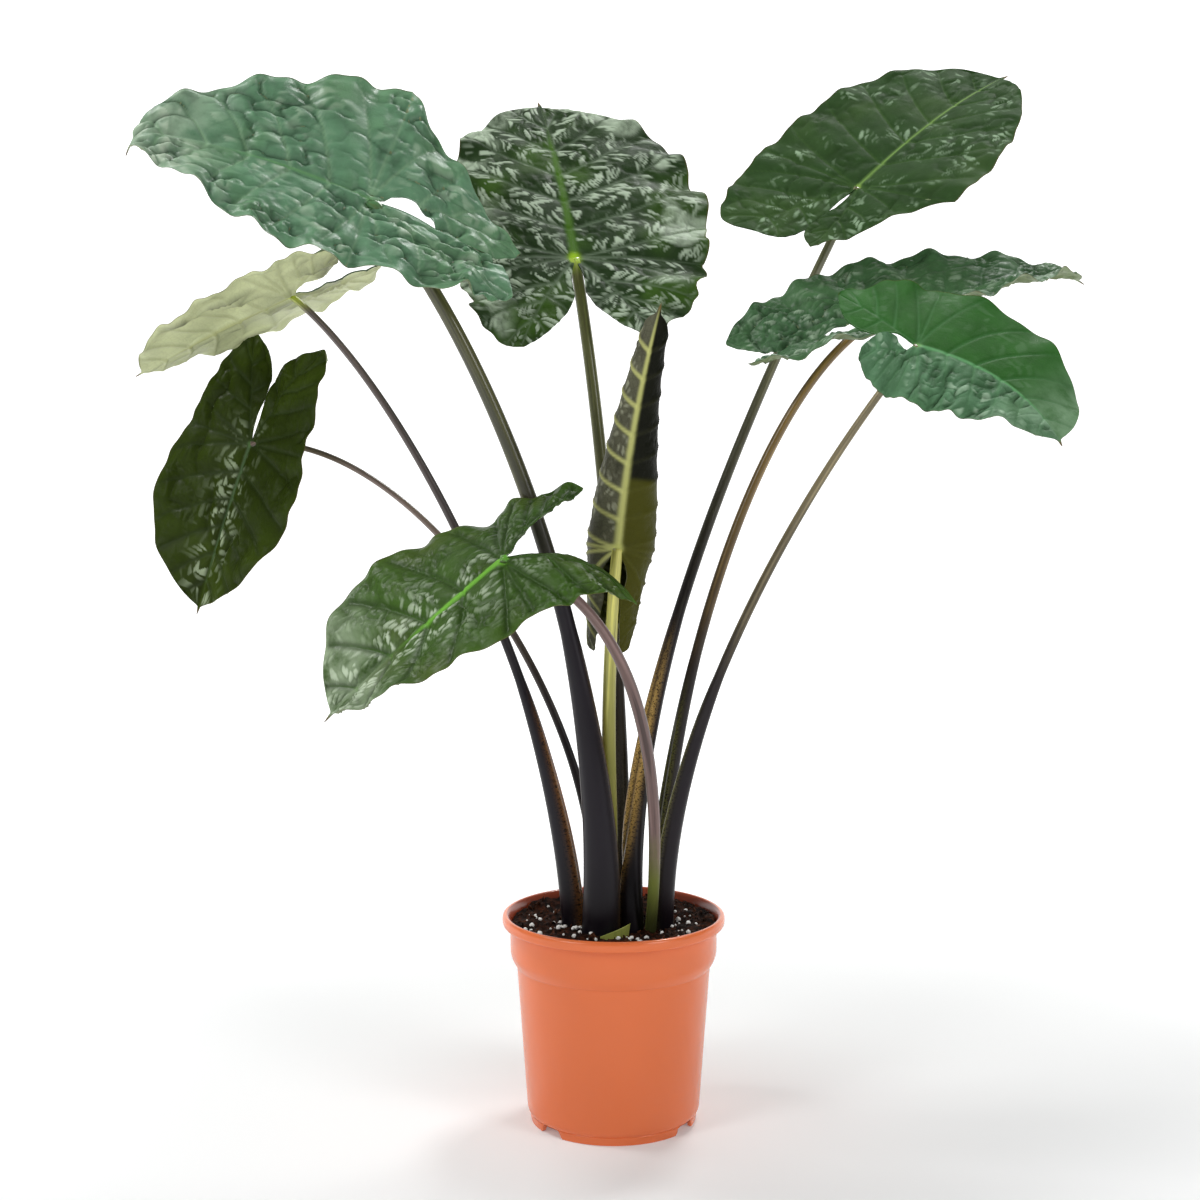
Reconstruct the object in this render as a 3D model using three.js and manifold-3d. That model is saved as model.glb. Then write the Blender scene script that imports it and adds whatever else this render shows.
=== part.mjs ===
// A potted alocasia: nine arrow-shaped leaves on long stalks, in a plastic nursery pot.
// Millimetres, +Z up. The origin is the middle of the pot's base. The plant is seen from -Y,
// so -X is its left and +X its right.
import * as THREE from "three";
import { mergeVertices } from "three/addons/utils/BufferGeometryUtils.js";
import Module from "manifold-3d";

const wasm = await Module();
wasm.setup();

// Clear space between pieces that touch, and round what stands in the soil.
const GAP = 0.3;
const HOLE_CLEARANCE = 0.5;

// Pot: a lathe-turned shell with a tall collar, a rolled rim and a foot ring.
const POT_SIDES = 32;
const RIM_RADIUS = 105;
const RIM_TOP = 199;
const RIM_BOTTOM = 189;
const COLLAR_RADIUS = 97.5;
const COLLAR_BOTTOM = 160;
const SHOULDER_RADIUS = 92;
const SHOULDER_Z = 151;
const BODY_LOW_RADIUS = 81.8;
const FOOT_RADIUS = 78.5;
const FOOT_BAND = 8;
const FOOT_RING_WIDTH = 3;
const WALL = 1.8;
const CHANNEL_TOP = 7;
const CHANNEL_INNER = 57;
const FLOOR_THICK = 3;
const NOTCH_ANGLES = [-48, 58, 132, 238];
const NOTCH_WIDTH = 27;
const NOTCH_HEIGHT = 8;
const NOTCH_TAPER = 3;
const NOTCH_DEPTH = 12;
const DRAIN_COUNT = 8;
const DRAIN_RADIUS = 4.5;
const DRAIN_CIRCLE = 66;

// Soil: fills the pot to a little below the rim, heaped on the right.
const SOIL_Z = 186;
const SOIL_RINGS = 5;
const SOIL_HEAP = 5;
const HEAP_SPAN = [35, 90];
const SOIL_BUMP = 1.6;
const BUMP_LENGTH = [13, 11];
const RIPPLE_LENGTH = [7, 9];

// Crown: the rootstock that the stalks rise from, hidden in the soil.
const CROWN_CENTRE = [8, 0];
const CROWN_HALF = [44, 28];
const CROWN_TOP = 150;
const CROWN_DEPTH = 30;

// Basal sheath: the short pale scale in front of the stalks.
const SCALE_CENTRE = [-8, -22];
const SCALE_RADIUS = 24;
const SCALE_ARC = [-10, 60];
const SCALE_BOTTOM = 172;
const SCALE_TOP = 198;
const SCALE_ARCH = 9;
const SCALE_LEAN = 0.12;
const SCALE_THICK = 1.4;

// Blades.
const BLADE_THICK = 1;
const RIB_DEPTH = 1.6;
const FORE_ROWS = 14;
const AFT_ROWS = 8;
const RIB_STEPS = 60;
const COLUMN_POWER = 0.75;
const DROOP_POWER = 1.4;
const SWEEP_POWER = 1.2;
const HOOK_START = 0.8;
const MARGIN_END = 0.95;
const TIP_WIDTH = 0.05;
const TIP_SPAN = [0.6, 0.9];
const TIP_TAPER = 0.1;
const SINUS_GAP = 0.6;
const EYE_START = 0.04;
const EYE_END = 0.45;
const LIFT_SPAN = [0.25, 0.7];
const WAVE_POWER = 2.5;
const WAVE_START = 0.15;
const WAVE_SHIFT = 0.4;
const NORMAL_STEP = 0.01;
const NORMAL_LIMIT = 0.975;

// Stalks.
const STALK_SIDES = 10;
const STALK_RINGS = 13;
const STALK_GROOVE = 0.4;
const GROOVE_POWER = 4;
const GROOVE_FADE = 120;
const SHEATH_POWER = 1.5;
const LAST_RING_CLEAR = 4;
const STALK_SEAT = BLADE_THICK / 2 + RIB_DEPTH + GAP;
const STALK_LEAST_SLOPE = 0.15;

// What most leaves share. Pairs are for the left and right half, seen from above with the
// tip ahead. Lengths are in millimetres and angles in degrees; the others are ratios.
const PLAIN_LEAF = {
  lobeEnd: [0.5, 0.5],
  lobePower: [2, 2],
  lobeRound: [0.6, 0.6],
  forePower: [2.4, 2.4],
  tipRound: 0.8,
  belly: [0, 0],
  lobeFold: [0, 0],
  tipFold: [0, 0],
  tipCurl: [0, 0],
  lobeCurl: [0, 0],
  droop: 5,
  hook: 0,
  sweep: 0,
  lobeDroop: 0,
  wave: 5,
  waves: 6,
  eye: [9, 9],
  lobeLift: [0, 0],
  sinusPower: 6,
  columns: 3,
};

const LEAVES = [
  {
    ...PLAIN_LEAF,
    name: "upper_left",
    joint: [-216, -60, 858],
    heading: 189,
    pitch: 23,
    roll: -45,
    length: 230,
    lobe: [146, 142],
    width: [88, 142],
    lobeEnd: [0.5, 0.12],
    lobePower: [2, 0.9],
    lobeRound: [0.6, 1],
    forePower: [1.6, 1.2],
    fold: [6, 14],
    lobeFold: [8, -6],
    curl: [-8, -12],
    droop: 16,
    sweep: 12,
    lobeDroop: 6,
    hook: 75,
    wave: 6,
    lobeLift: [0, 0],
    sinusPower: 12,
    eye: [-5, 19],
    belly: [0.28, 0.04],
    color: "#5a8370",
    stalk: {
      base: [-12, -24],
      rise: [0, -16, 400],
      arrive: [-88, -20, 700],
      lower: 0,
      sheathTop: 470,
      radius: [18, 7.8, 6],
      color: "#4a4440",
    },
  },
  {
    ...PLAIN_LEAF,
    name: "upright_middle",
    joint: [-37, 80, 815],
    heading: 100.6,
    pitch: 48,
    roll: 0,
    length: 240,
    lobe: [112, 100],
    width: [109, 130],
    lobeEnd: [0.55, 0.45],
    lobePower: [3, 1.3],
    forePower: [3.4, 3.4],
    tipRound: 0.6,
    belly: [0.05, 0.12],
    fold: [5, 5],
    curl: [-12, -12],
    droop: 10,
    lobeDroop: 5,
    wave: 6,
    eye: [5, 5],
    sinusPower: 3,
    sweep: 4,
    color: "#456542",
    stalk: {
      base: [8, 30],
      rise: [10, 52, 420],
      arrive: [-8, 66, 640],
      lower: 0,
      sheathTop: 400,
      radius: [9, 6.5, 5.5],
      color: "#6a6e50",
    },
  },
  {
    ...PLAIN_LEAF,
    name: "high_right",
    joint: [240, 150, 887],
    heading: 36,
    pitch: 37,
    roll: 20,
    length: 250,
    lobe: [125, 106],
    width: [115, 120],
    lobeEnd: [0.55, 0.2],
    lobePower: [2, 0.6],
    lobeRound: [0.6, 1],
    forePower: [3.6, 2.2],
    fold: [12, 12],
    curl: [-8, -8],
    droop: 17,
    sweep: -2,
    lobeDroop: -15,
    wave: 2.5,
    eye: [2, 2],
    lobeLift: [0, 4],
    sinusPower: 10,
    lobeFold: [0, -15],
    belly: [0, 0.08],
    color: "#4a6b44",
    stalk: {
      base: [17, -10],
      rise: [0, 20, 400],
      arrive: [142, 142, 690],
      lower: 0,
      sheathTop: 480,
      radius: [12, 5.5, 4],
      color: "#6b665e",
    },
  },
  {
    ...PLAIN_LEAF,
    name: "back_right",
    joint: [248, 50, 756],
    heading: 14,
    pitch: 19,
    roll: 30,
    length: 232,
    lobe: [138, 140],
    width: [100, 78],
    lobeEnd: [0.4, 0.25],
    fold: [5, 34],
    curl: [-8, -8],
    droop: 22,
    hook: 25,
    lobeLift: [0, 4],
    forePower: [1.4, 2.4],
    color: "#4d7050",
    stalk: {
      base: [40, 24],
      rise: [48, 28, 400],
      arrive: [134, 45, 695],
      lower: 0,
      sheathTop: 440,
      radius: [9, 5, 4],
      color: "#6e6248",
    },
  },
  {
    ...PLAIN_LEAF,
    name: "front_right",
    joint: [263, -100, 730],
    heading: -16,
    pitch: -15,
    roll: 34,
    length: 166,
    lobe: [85, 42],
    width: [88, 74],
    belly: [0.05, 0.1],
    forePower: [2.1, 2.4],
    fold: [6, 3],
    curl: [-8, -12],
    droop: 16,
    sweep: -52,
    lobeDroop: 5,
    lobeLift: [0, 8],
    wave: 4,
    waves: 4,
    color: "#4c7a55",
    stalk: {
      base: [45, -4],
      rise: [42, -12, 360],
      arrive: [160, -72, 600],
      lower: 0,
      sheathTop: 430,
      radius: [12, 4.5, 3.3],
      color: "#5c554e",
    },
  },
  {
    ...PLAIN_LEAF,
    name: "back_left",
    joint: [-303, 50, 778],
    heading: 160,
    pitch: -22,
    roll: 13,
    length: 186,
    lobe: [78, 80],
    width: [58, 78],
    forePower: [4, 3],
    fold: [13, 13],
    tipFold: [-6, 0],
    curl: [-8, -8],
    waves: 5,
    sinusPower: 2,
    wave: 3,
    color: "#8f9c6c",
    stalk: {
      base: [-36, 6],
      rise: [-50, 12, 400],
      arrive: [-194, 30, 695],
      lower: 0,
      sheathTop: 420,
      radius: [13, 4.6, 3.2],
      color: "#5c5050",
    },
  },
  {
    ...PLAIN_LEAF,
    name: "hanging_left",
    joint: [-357, 130, 636],
    heading: 200,
    pitch: -70,
    roll: -40,
    length: 176,
    lobe: [108, 108],
    width: [88, 70],
    lobeEnd: [0.75, 0.5],
    belly: [0.2, 0.25],
    lobePower: [1.3, 1.3],
    fold: [20, 20],
    curl: [-10, -10],
    waves: 5,
    eye: [2, 2],
    forePower: [2.4, 3.4],
    wave: 2,
    color: "#3f5a34",
    stalk: {
      base: [-14, 22],
      rise: [-12, 40, 400],
      arrive: [-195, 90, 655],
      lower: 0,
      sheathTop: 340,
      radius: [6, 4, 2.8],
      color: "#66584f",
    },
  },
  {
    ...PLAIN_LEAF,
    name: "front_low",
    joint: [-99, -130, 547],
    heading: 173,
    pitch: -41,
    roll: -30,
    length: 217,
    lobe: [124, 98],
    width: [84, 102],
    lobeEnd: [1.1, 0.7],
    belly: [0, 0.2],
    fold: [-12, -5],
    tipFold: [35, 45],
    lobeFold: [-15, 0],
    curl: [-5, -10],
    lobeDroop: 56,
    wave: 4,
    waves: 5,
    eye: [2, 2],
    sinusPower: 1.2,
    forePower: [3, 3.4],
    color: "#48683c",
    stalk: {
      base: [34, -22],
      rise: [52, -60, 400],
      arrive: [0, -110, 520],
      lower: 0.9,
      sheathTop: 420,
      radius: [5.5, 5.5, 4],
      color: "#6f5a58",
    },
  },
  {
    ...PLAIN_LEAF,
    name: "young_rolled",
    joint: [3, -30, 547],
    heading: 0,
    pitch: 84,
    roll: -90,
    length: 226,
    lobe: [100, 100],
    width: [100, 100],
    lobeEnd: [0.12, 0.12],
    lobePower: [3, 3],
    fold: [0, 0],
    curl: [170, 215],
    tipCurl: [400, 440],
    lobeCurl: [110, 120],
    droop: 0,
    sweep: 9,
    lobeDroop: -14,
    wave: 0,
    eye: [7, 7],
    sinusPower: 0.7,
    columns: 5,
    forePower: [1.5, 1.5],
    color: "#4b4a34",
    stalk: {
      base: [2, 8],
      rise: [-8, 4, 330],
      arrive: [-6, -30, 450],
      lower: 6,
      sheathTop: 300,
      radius: [6, 7, 5],
      color: "#8f9150",
    },
  },
];

const clamp = THREE.MathUtils.clamp;
const lerp = THREE.MathUtils.lerp;
const rad = THREE.MathUtils.degToRad;
const smooth = THREE.MathUtils.smoothstep;

function vector(values) {
  return new THREE.Vector3(...values);
}

// A closed mesh as a solid that can be joined and cut.
function toSolid(geometry) {
  const bare = new THREE.BufferGeometry();
  bare.setAttribute("position", geometry.getAttribute("position"));
  bare.setIndex(geometry.getIndex());
  const merged = mergeVertices(bare, 1e-4);
  const vertProperties = new Float32Array(merged.getAttribute("position").array);
  const triVerts = new Uint32Array(merged.getIndex().array);
  return new wasm.Manifold(new wasm.Mesh({ numProp: 3, vertProperties, triVerts }));
}

function toGeometry(solid) {
  const mesh = solid.getMesh();
  const geometry = new THREE.BufferGeometry();
  geometry.setAttribute("position", new THREE.BufferAttribute(mesh.vertProperties, 3));
  geometry.setIndex(new THREE.BufferAttribute(mesh.triVerts, 1));
  return geometry;
}

function indexed(points, triangles) {
  const geometry = new THREE.BufferGeometry().setFromPoints(points);
  geometry.setIndex(triangles.flat());
  return geometry;
}

// A mesh whose faces point inwards is turned inside out.
function facingOut(geometry) {
  const position = geometry.getAttribute("position");
  const index = geometry.getIndex().array;
  const corner = [0, 1, 2].map(() => new THREE.Vector3());
  let volume = 0;
  for (let i = 0; i < index.length; i += 3) {
    corner.forEach((v, k) => v.fromBufferAttribute(position, index[i + k]));
    volume += corner[0].dot(corner[1].clone().cross(corner[2]));
  }
  if (volume > 0) return geometry;
  const turned = Array.from(index);
  for (let i = 0; i < turned.length; i += 3) {
    [turned[i + 1], turned[i + 2]] = [turned[i + 2], turned[i + 1]];
  }
  geometry.setIndex(turned);
  return geometry;
}

// A closed profile of [radius, height] pairs turned about the upright axis.
function turned(profile, sides) {
  const points = profile.map(([radius, z]) => new THREE.Vector2(radius, z));
  const lathe = new THREE.LatheGeometry(points, sides).rotateX(Math.PI / 2);
  lathe.deleteAttribute("normal");
  lathe.deleteAttribute("uv");
  const merged = mergeVertices(lathe, 1e-4);
  const index = merged.getIndex().array;
  const kept = [];
  for (let i = 0; i < index.length; i += 3) {
    const [a, b, c] = [index[i], index[i + 1], index[i + 2]];
    if (a !== b && b !== c && c !== a) kept.push(a, b, c);
  }
  merged.setIndex(kept);
  return facingOut(merged);
}

// A surface of shared points given thickness: each point is moved up and down its normal,
// both faces get the same triangles, and a strip closes every open edge.
function thicken(points, normals, triangles, up, down) {
  const count = points.length;
  const top = points.map((p, i) => p.clone().addScaledVector(normals[i], up[i]));
  const bottom = points.map((p, i) => p.clone().addScaledVector(normals[i], -down[i]));
  const faces = triangles.filter(([a, b, c]) => a !== b && b !== c && c !== a);
  const edges = new Set();
  for (const [a, b, c] of faces) {
    for (const [u, v] of [[a, b], [b, c], [c, a]]) edges.add(u * count + v);
  }
  const all = faces.flatMap(([a, b, c]) => [[a, b, c], [count + a, count + c, count + b]]);
  for (const edge of edges) {
    const u = Math.floor(edge / count);
    const v = edge % count;
    if (edges.has(v * count + u)) continue;
    all.push([v, u, count + u], [v, count + u, count + v]);
  }
  return facingOut(indexed([...top, ...bottom], all));
}

// The two triangles of each cell of a grid of point numbers, turned over where asked.
function cells(grid, flip) {
  const triangles = [];
  for (let i = 0; i + 1 < grid.length; i += 1) {
    for (let j = 0; j + 1 < grid[i].length; j += 1) {
      const [a, b, c, d] = [grid[i][j], grid[i + 1][j], grid[i + 1][j + 1], grid[i][j + 1]];
      triangles.push(...(flip ? [[a, b, c], [a, c, d]] : [[a, d, c], [a, c, b]]));
    }
  }
  return triangles;
}

// The frame of a leaf at its joint: ahead to the tip, left, and up out of the upper face.
function leafFrame(leaf) {
  const [heading, pitch, roll] = [leaf.heading, leaf.pitch, leaf.roll].map(rad);
  const ahead = new THREE.Vector3(
    Math.cos(pitch) * Math.cos(heading),
    Math.cos(pitch) * Math.sin(heading),
    Math.sin(pitch),
  );
  const level = new THREE.Vector3(0, 0, 1).cross(ahead).normalize();
  const over = ahead.clone().cross(level);
  const left = level.clone().multiplyScalar(Math.cos(roll)).addScaledVector(over, Math.sin(roll));
  const up = over.clone().multiplyScalar(Math.cos(roll)).addScaledVector(level, -Math.sin(roll));
  return { ahead, left, up };
}

// The rib from the joint outwards, bent down by its droop and aside by its sweep.
// Sense is 1 towards the tip and -1 towards the lobe ends.
function ribBranch(leaf, sense) {
  const { ahead, left, up } = leafFrame(leaf);
  const fore = sense > 0;
  const length = fore ? leaf.length : Math.max(...leaf.lobe);
  const out = ahead.clone().multiplyScalar(sense);
  const stations = [];
  const at = vector(leaf.joint);
  let last = null;
  for (let i = 0; i <= RIB_STEPS; i += 1) {
    const x = i / RIB_STEPS;
    const down = fore
      ? rad(leaf.droop) * x ** DROOP_POWER + rad(leaf.hook) * smooth(x, HOOK_START, 1)
      : rad(leaf.lobeDroop) * x ** SWEEP_POWER;
    const aside = fore ? rad(leaf.sweep) * x ** SWEEP_POWER : 0;
    const bent = out.clone().multiplyScalar(Math.cos(down)).addScaledVector(up, -Math.sin(down));
    const over = up.clone().multiplyScalar(Math.cos(down)).addScaledVector(out, Math.sin(down));
    const along = bent.clone().multiplyScalar(Math.cos(aside));
    along.addScaledVector(left, Math.sin(aside));
    const across = left.clone().multiplyScalar(Math.cos(aside));
    across.addScaledVector(bent, -Math.sin(aside));
    if (last) at.addScaledVector(along.clone().add(last), length / RIB_STEPS / 2);
    last = along;
    stations.push({ at: at.clone(), left: across, up: over });
  }
  return stations;
}

// A point and its left and up directions on the rib, x being 1 at the tip, 0 at the joint
// and -1 at the end of the longer lobe.
function onRib(rib, x) {
  const stations = x < 0 ? rib.aft : rib.fore;
  const place = clamp(Math.abs(x), 0, 1) * RIB_STEPS;
  const low = Math.min(Math.floor(place), RIB_STEPS - 1);
  const [a, b] = [stations[low], stations[low + 1]];
  const mix = (key) => a[key].clone().lerp(b[key], place - low);
  return { at: mix("at"), left: mix("left"), up: mix("up") };
}

// Distance from the rib to the inner and outer edge of one half of the blade. Towards the tip
// the margin narrows to a drawn-out point; behind the joint the lobes part round the sinus.
function halfWidths(leaf, x, side) {
  const fore = clamp(x, 0, 1);
  const aft = clamp(-x, 0, 1);
  const full = (1 - Math.min(fore / MARGIN_END, 1) ** leaf.forePower[side]) ** leaf.tipRound;
  const point = TIP_WIDTH * smooth(fore, ...TIP_SPAN) * clamp((1 - fore) / TIP_TAPER, 0, 1);
  const swell = 1 + leaf.belly[side] * Math.sin(Math.PI * fore);
  const end = leaf.lobeEnd[side];
  const round = (1 - aft ** leaf.lobePower[side]) ** leaf.lobeRound[side];
  const ratio = x >= 0 ? (full + point) * swell : end + (1 - end) * round;
  const part = clamp((aft - EYE_START) / (EYE_END - EYE_START), 0, 1);
  const eye = leaf.eye[side] * Math.sin(Math.PI * part);
  const parted = eye + SINUS_GAP * clamp(8 * aft, 0, 1);
  const inner = x >= 0 ? 0 : parted + end * leaf.width[side] * aft ** leaf.sinusPower;
  return { inner, outer: leaf.width[side] * ratio };
}

// A point of the blade's middle surface: s runs from the rib, 0, to the margin, 1. The half
// blade is folded up from the rib, curled, and waved along its margin.
function bladePoint(leaf, rib, x, s, side) {
  const fore = clamp(x, 0, 1);
  const aft = clamp(-x, 0, 1);
  const { inner, outer } = halfWidths(leaf, x, side);
  const b = lerp(inner, outer, s);
  const fold = rad(leaf.fold[side] + leaf.lobeFold[side] * aft + leaf.tipFold[side] * fore);
  const curl = leaf.curl[side] + leaf.tipCurl[side] * fore * fore + leaf.lobeCurl[side] * aft;
  const bend = rad(curl) / leaf.width[side];
  const angle = fold + bend * b;
  const run = (leaf.length - (x >= 0 ? leaf.length : leaf.lobe[side]) * x)
    / (leaf.length + leaf.lobe[side]);
  const phase = side * WAVE_SHIFT;
  const ripple = leaf.wave * s ** WAVE_POWER * smooth(run, 0, WAVE_START)
    * Math.sin(2 * Math.PI * (leaf.waves * run + phase));
  const lift = leaf.lobeLift[side] * smooth(aft, ...LIFT_SPAN) * (1 - s);
  const across = (Math.sin(angle) - Math.sin(fold)) / bend - ripple * Math.sin(angle);
  const height = (Math.cos(fold) - Math.cos(angle)) / bend + ripple * Math.cos(angle) + lift;
  const reach = x < 0 ? (x * leaf.lobe[side]) / Math.max(...leaf.lobe) : x;
  const { at, left, up } = onRib(rib, reach);
  return at.addScaledVector(left, side ? -across : across).addScaledVector(up, height);
}

// The upward normal of the blade there, from two short steps along and across it.
function bladeNormal(leaf, rib, x, s, side) {
  const step = NORMAL_STEP;
  const edge = clamp(x, -NORMAL_LIMIT, NORMAL_LIMIT);
  const [near, far] = x < 0 ? [edge + step, edge - step] : [edge + step, edge];
  const along = bladePoint(leaf, rib, near, s, side).sub(bladePoint(leaf, rib, far, s, side));
  const low = clamp(s - step, 0, 1);
  const high = clamp(s + step, 0, 1);
  const across = bladePoint(leaf, rib, edge, high, side);
  across.sub(bladePoint(leaf, rib, edge, low, side));
  const normal = along.cross(across).normalize();
  return side ? normal.negate() : normal;
}

// Numbers and places of the blade's points: the halves share the rib ahead of the joint and
// part behind it; the tip and each lobe end are single points.
function bladeGrid(leaf, rib) {
  const rows = [];
  for (let i = 0; i <= FORE_ROWS; i += 1) rows.push(1 - i / FORE_ROWS);
  for (let i = 1; i <= AFT_ROWS; i += 1) rows.push(-i / AFT_ROWS);
  const points = [];
  const normals = [];
  const ridge = [];
  const add = (x, s, side, both) => {
    const end = Math.abs(x) === 1;
    const normal = bladeNormal(leaf, rib, x, end ? 0.5 : s, side);
    if (both) normal.add(bladeNormal(leaf, rib, x, end ? 0.5 : s, 1 - side)).normalize();
    points.push(bladePoint(leaf, rib, x, s, side));
    normals.push(normal);
    ridge.push(both ? RIB_DEPTH * Math.sqrt(1 - x) : 0);
    return points.length - 1;
  };
  const halves = [0, 1].map(() => []);
  for (const x of rows) {
    const shared = x >= 0 ? add(x, 0, 0, true) : null;
    halves.forEach((grid, side) => {
      const single = x === 1 ? shared : x === -1 ? add(x, 1, side, false) : null;
      const row = [];
      for (let j = 0; j <= leaf.columns; j += 1) {
        const s = (j / leaf.columns) ** COLUMN_POWER;
        if (single !== null) row.push(single);
        else row.push(j === 0 && shared !== null ? shared : add(x, s, side, false));
      }
      grid.push(row);
    });
  }
  return { halves, points, normals, ridge };
}

// The blade as a thin closed sheet with its midrib standing out below.
function bladeGeometry(leaf) {
  const rib = { fore: ribBranch(leaf, 1), aft: ribBranch(leaf, -1) };
  const { halves, points, normals, ridge } = bladeGrid(leaf, rib);
  const triangles = [...cells(halves[0], false), ...cells(halves[1], true)];
  const up = points.map(() => BLADE_THICK / 2);
  const down = ridge.map((depth) => BLADE_THICK / 2 + depth);
  return thicken(points, normals, triangles, up, down);
}

// Radius of a stalk at a height: wide in the sheath at its base, slim above it.
function stalkRadius(stalk, z, top) {
  const [low, middle, high] = stalk.radius;
  const span = clamp((z - SOIL_Z) / (stalk.sheathTop - SOIL_Z), 0, 1);
  if (z < stalk.sheathTop) return lerp(low, middle, span ** SHEATH_POWER);
  return lerp(middle, high, (z - stalk.sheathTop) / (top - stalk.sheathTop));
}

// One ring of a stalk: round, with a groove on the side that faces the middle of the plant.
function stalkRing(centre, along, radius, groove) {
  const inwards = new THREE.Vector3(CROWN_CENTRE[0] - centre.x, CROWN_CENTRE[1] - centre.y, 0);
  const facing = inwards.addScaledVector(along, -inwards.dot(along)).normalize();
  const aside = along.clone().cross(facing);
  const ring = [];
  for (let k = 0; k < STALK_SIDES; k += 1) {
    const turn = (2 * Math.PI * k) / STALK_SIDES;
    const reach = radius * (1 - groove * Math.max(0, Math.cos(turn)) ** GROOVE_POWER);
    const point = centre.clone().addScaledVector(facing, reach * Math.cos(turn));
    ring.push(point.addScaledVector(aside, reach * Math.sin(turn)));
  }
  return ring;
}

// Slides each point of a ring along the stalk on to the plane just under the blade. A stalk
// that runs on straight into the rib is cut square just short of it.
function seatRing(ring, leaf, along) {
  const ahead = leafFrame(leaf).up;
  const up = along.dot(ahead) > STALK_LEAST_SLOPE ? ahead : along;
  const seat = vector(leaf.joint).addScaledVector(up, -STALK_SEAT - leaf.stalk.lower);
  return ring.map((point) => {
    const slide = seat.clone().sub(point).dot(up) / along.dot(up);
    return point.clone().addScaledVector(along, slide);
  });
}

// A stalk from the crown to just under its blade. Grow makes it thicker and deeper.
function stalkGeometry(leaf, grow = 0) {
  const { stalk } = leaf;
  const top = vector(leaf.joint);
  const foot = new THREE.Vector3(...stalk.base, SOIL_Z);
  const path = new THREE.CubicBezierCurve3(foot, vector(stalk.rise), vector(stalk.arrive), top);
  const upright = new THREE.Vector3(0, 0, 1);
  const bottom = foot.clone().setZ(CROWN_TOP + GAP - grow);
  const ringAt = (point, along) => {
    const radius = stalkRadius(stalk, point.z, top.z) + grow;
    const closed = smooth(point.z, stalk.sheathTop - GROOVE_FADE, stalk.sheathTop);
    return stalkRing(point, along, radius, STALK_GROOVE * (1 - closed));
  };
  const rings = [ringAt(bottom, upright), ringAt(foot, upright)];
  const arrival = path.getTangent(1);
  const slope = arrival.dot(leafFrame(leaf).up);
  const tilt = slope > STALK_LEAST_SLOPE ? Math.acos(slope) : 0;
  const depth = STALK_SEAT + stalk.lower;
  const clear = stalk.radius[2] * Math.tan(tilt) + depth / Math.cos(tilt) + LAST_RING_CLEAR;
  for (let i = 1; i < STALK_RINGS; i += 1) {
    const point = path.getPointAt(i / STALK_RINGS);
    const along = path.getTangentAt(i / STALK_RINGS);
    if (point.distanceTo(top) > clear) rings.push(ringAt(point, along));
  }
  rings.push(seatRing(ringAt(top, arrival), leaf, arrival));
  return tube(rings);
}

// Rings joined into a closed tube, with a point in the middle of each end.
function tube(rings) {
  const sides = rings[0].length;
  const points = rings.flat();
  const triangles = [];
  const number = (i, k) => i * sides + (k % sides);
  for (let i = 0; i + 1 < rings.length; i += 1) {
    for (let k = 0; k < sides; k += 1) {
      const [a, b, c, d] = [number(i, k), number(i, k + 1), number(i + 1, k + 1), number(i + 1, k)];
      triangles.push([a, b, c], [a, c, d]);
    }
  }
  const last = rings.length - 1;
  for (const [i, flip] of [[0, true], [last, false]]) {
    const middle = new THREE.Vector3();
    rings[i].forEach((point) => middle.addScaledVector(point, 1 / sides));
    const hub = points.push(middle) - 1;
    for (let k = 0; k < sides; k += 1) {
      const [a, b] = [number(i, k), number(i, k + 1)];
      triangles.push(flip ? [a, hub, b] : [a, b, hub]);
    }
  }
  return facingOut(indexed(points, triangles));
}

// The outer profile of the pot up to the top of the rim, then the inner profile down again.
function potProfile() {
  const collarInside = COLLAR_RADIUS - WALL;
  const channelFloor = CHANNEL_TOP + FLOOR_THICK;
  return [
    [0, 0],
    [CHANNEL_INNER - 1, 0],
    [CHANNEL_INNER + 1, CHANNEL_TOP],
    [FOOT_RADIUS - FOOT_RING_WIDTH - 1, CHANNEL_TOP],
    [FOOT_RADIUS - FOOT_RING_WIDTH, 0],
    [FOOT_RADIUS, 0],
    [FOOT_RADIUS + 1, FOOT_BAND - 0.4],
    [FOOT_RADIUS + 0.5, FOOT_BAND],
    [BODY_LOW_RADIUS - 1, FOOT_BAND + 2],
    [BODY_LOW_RADIUS, FOOT_BAND + 5],
    [SHOULDER_RADIUS - 1, SHOULDER_Z - 1],
    [SHOULDER_RADIUS, SHOULDER_Z],
    [COLLAR_RADIUS, COLLAR_BOTTOM],
    [COLLAR_RADIUS, RIM_BOTTOM - 1],
    [RIM_RADIUS - 1, RIM_BOTTOM],
    [RIM_RADIUS, RIM_BOTTOM + 1.5],
    [RIM_RADIUS, RIM_TOP - 1.5],
    [RIM_RADIUS - 1.2, RIM_TOP],
    [collarInside + 5, RIM_TOP],
    [collarInside + 0.5, RIM_BOTTOM + 3],
    ...potInside(),
    [CHANNEL_INNER, channelFloor],
    [CHANNEL_INNER - 2, FLOOR_THICK],
    [0, FLOOR_THICK],
  ];
}

// The inner wall, from below the rim down to the floor.
function potInside() {
  return [
    [COLLAR_RADIUS - WALL, COLLAR_BOTTOM + 0.5],
    [SHOULDER_RADIUS - WALL, SHOULDER_Z + 0.5],
    [SHOULDER_RADIUS - 1 - WALL, SHOULDER_Z - 1],
    [BODY_LOW_RADIUS - WALL, FOOT_BAND + 6],
    [BODY_LOW_RADIUS - 5, CHANNEL_TOP + FLOOR_THICK],
  ];
}

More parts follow.
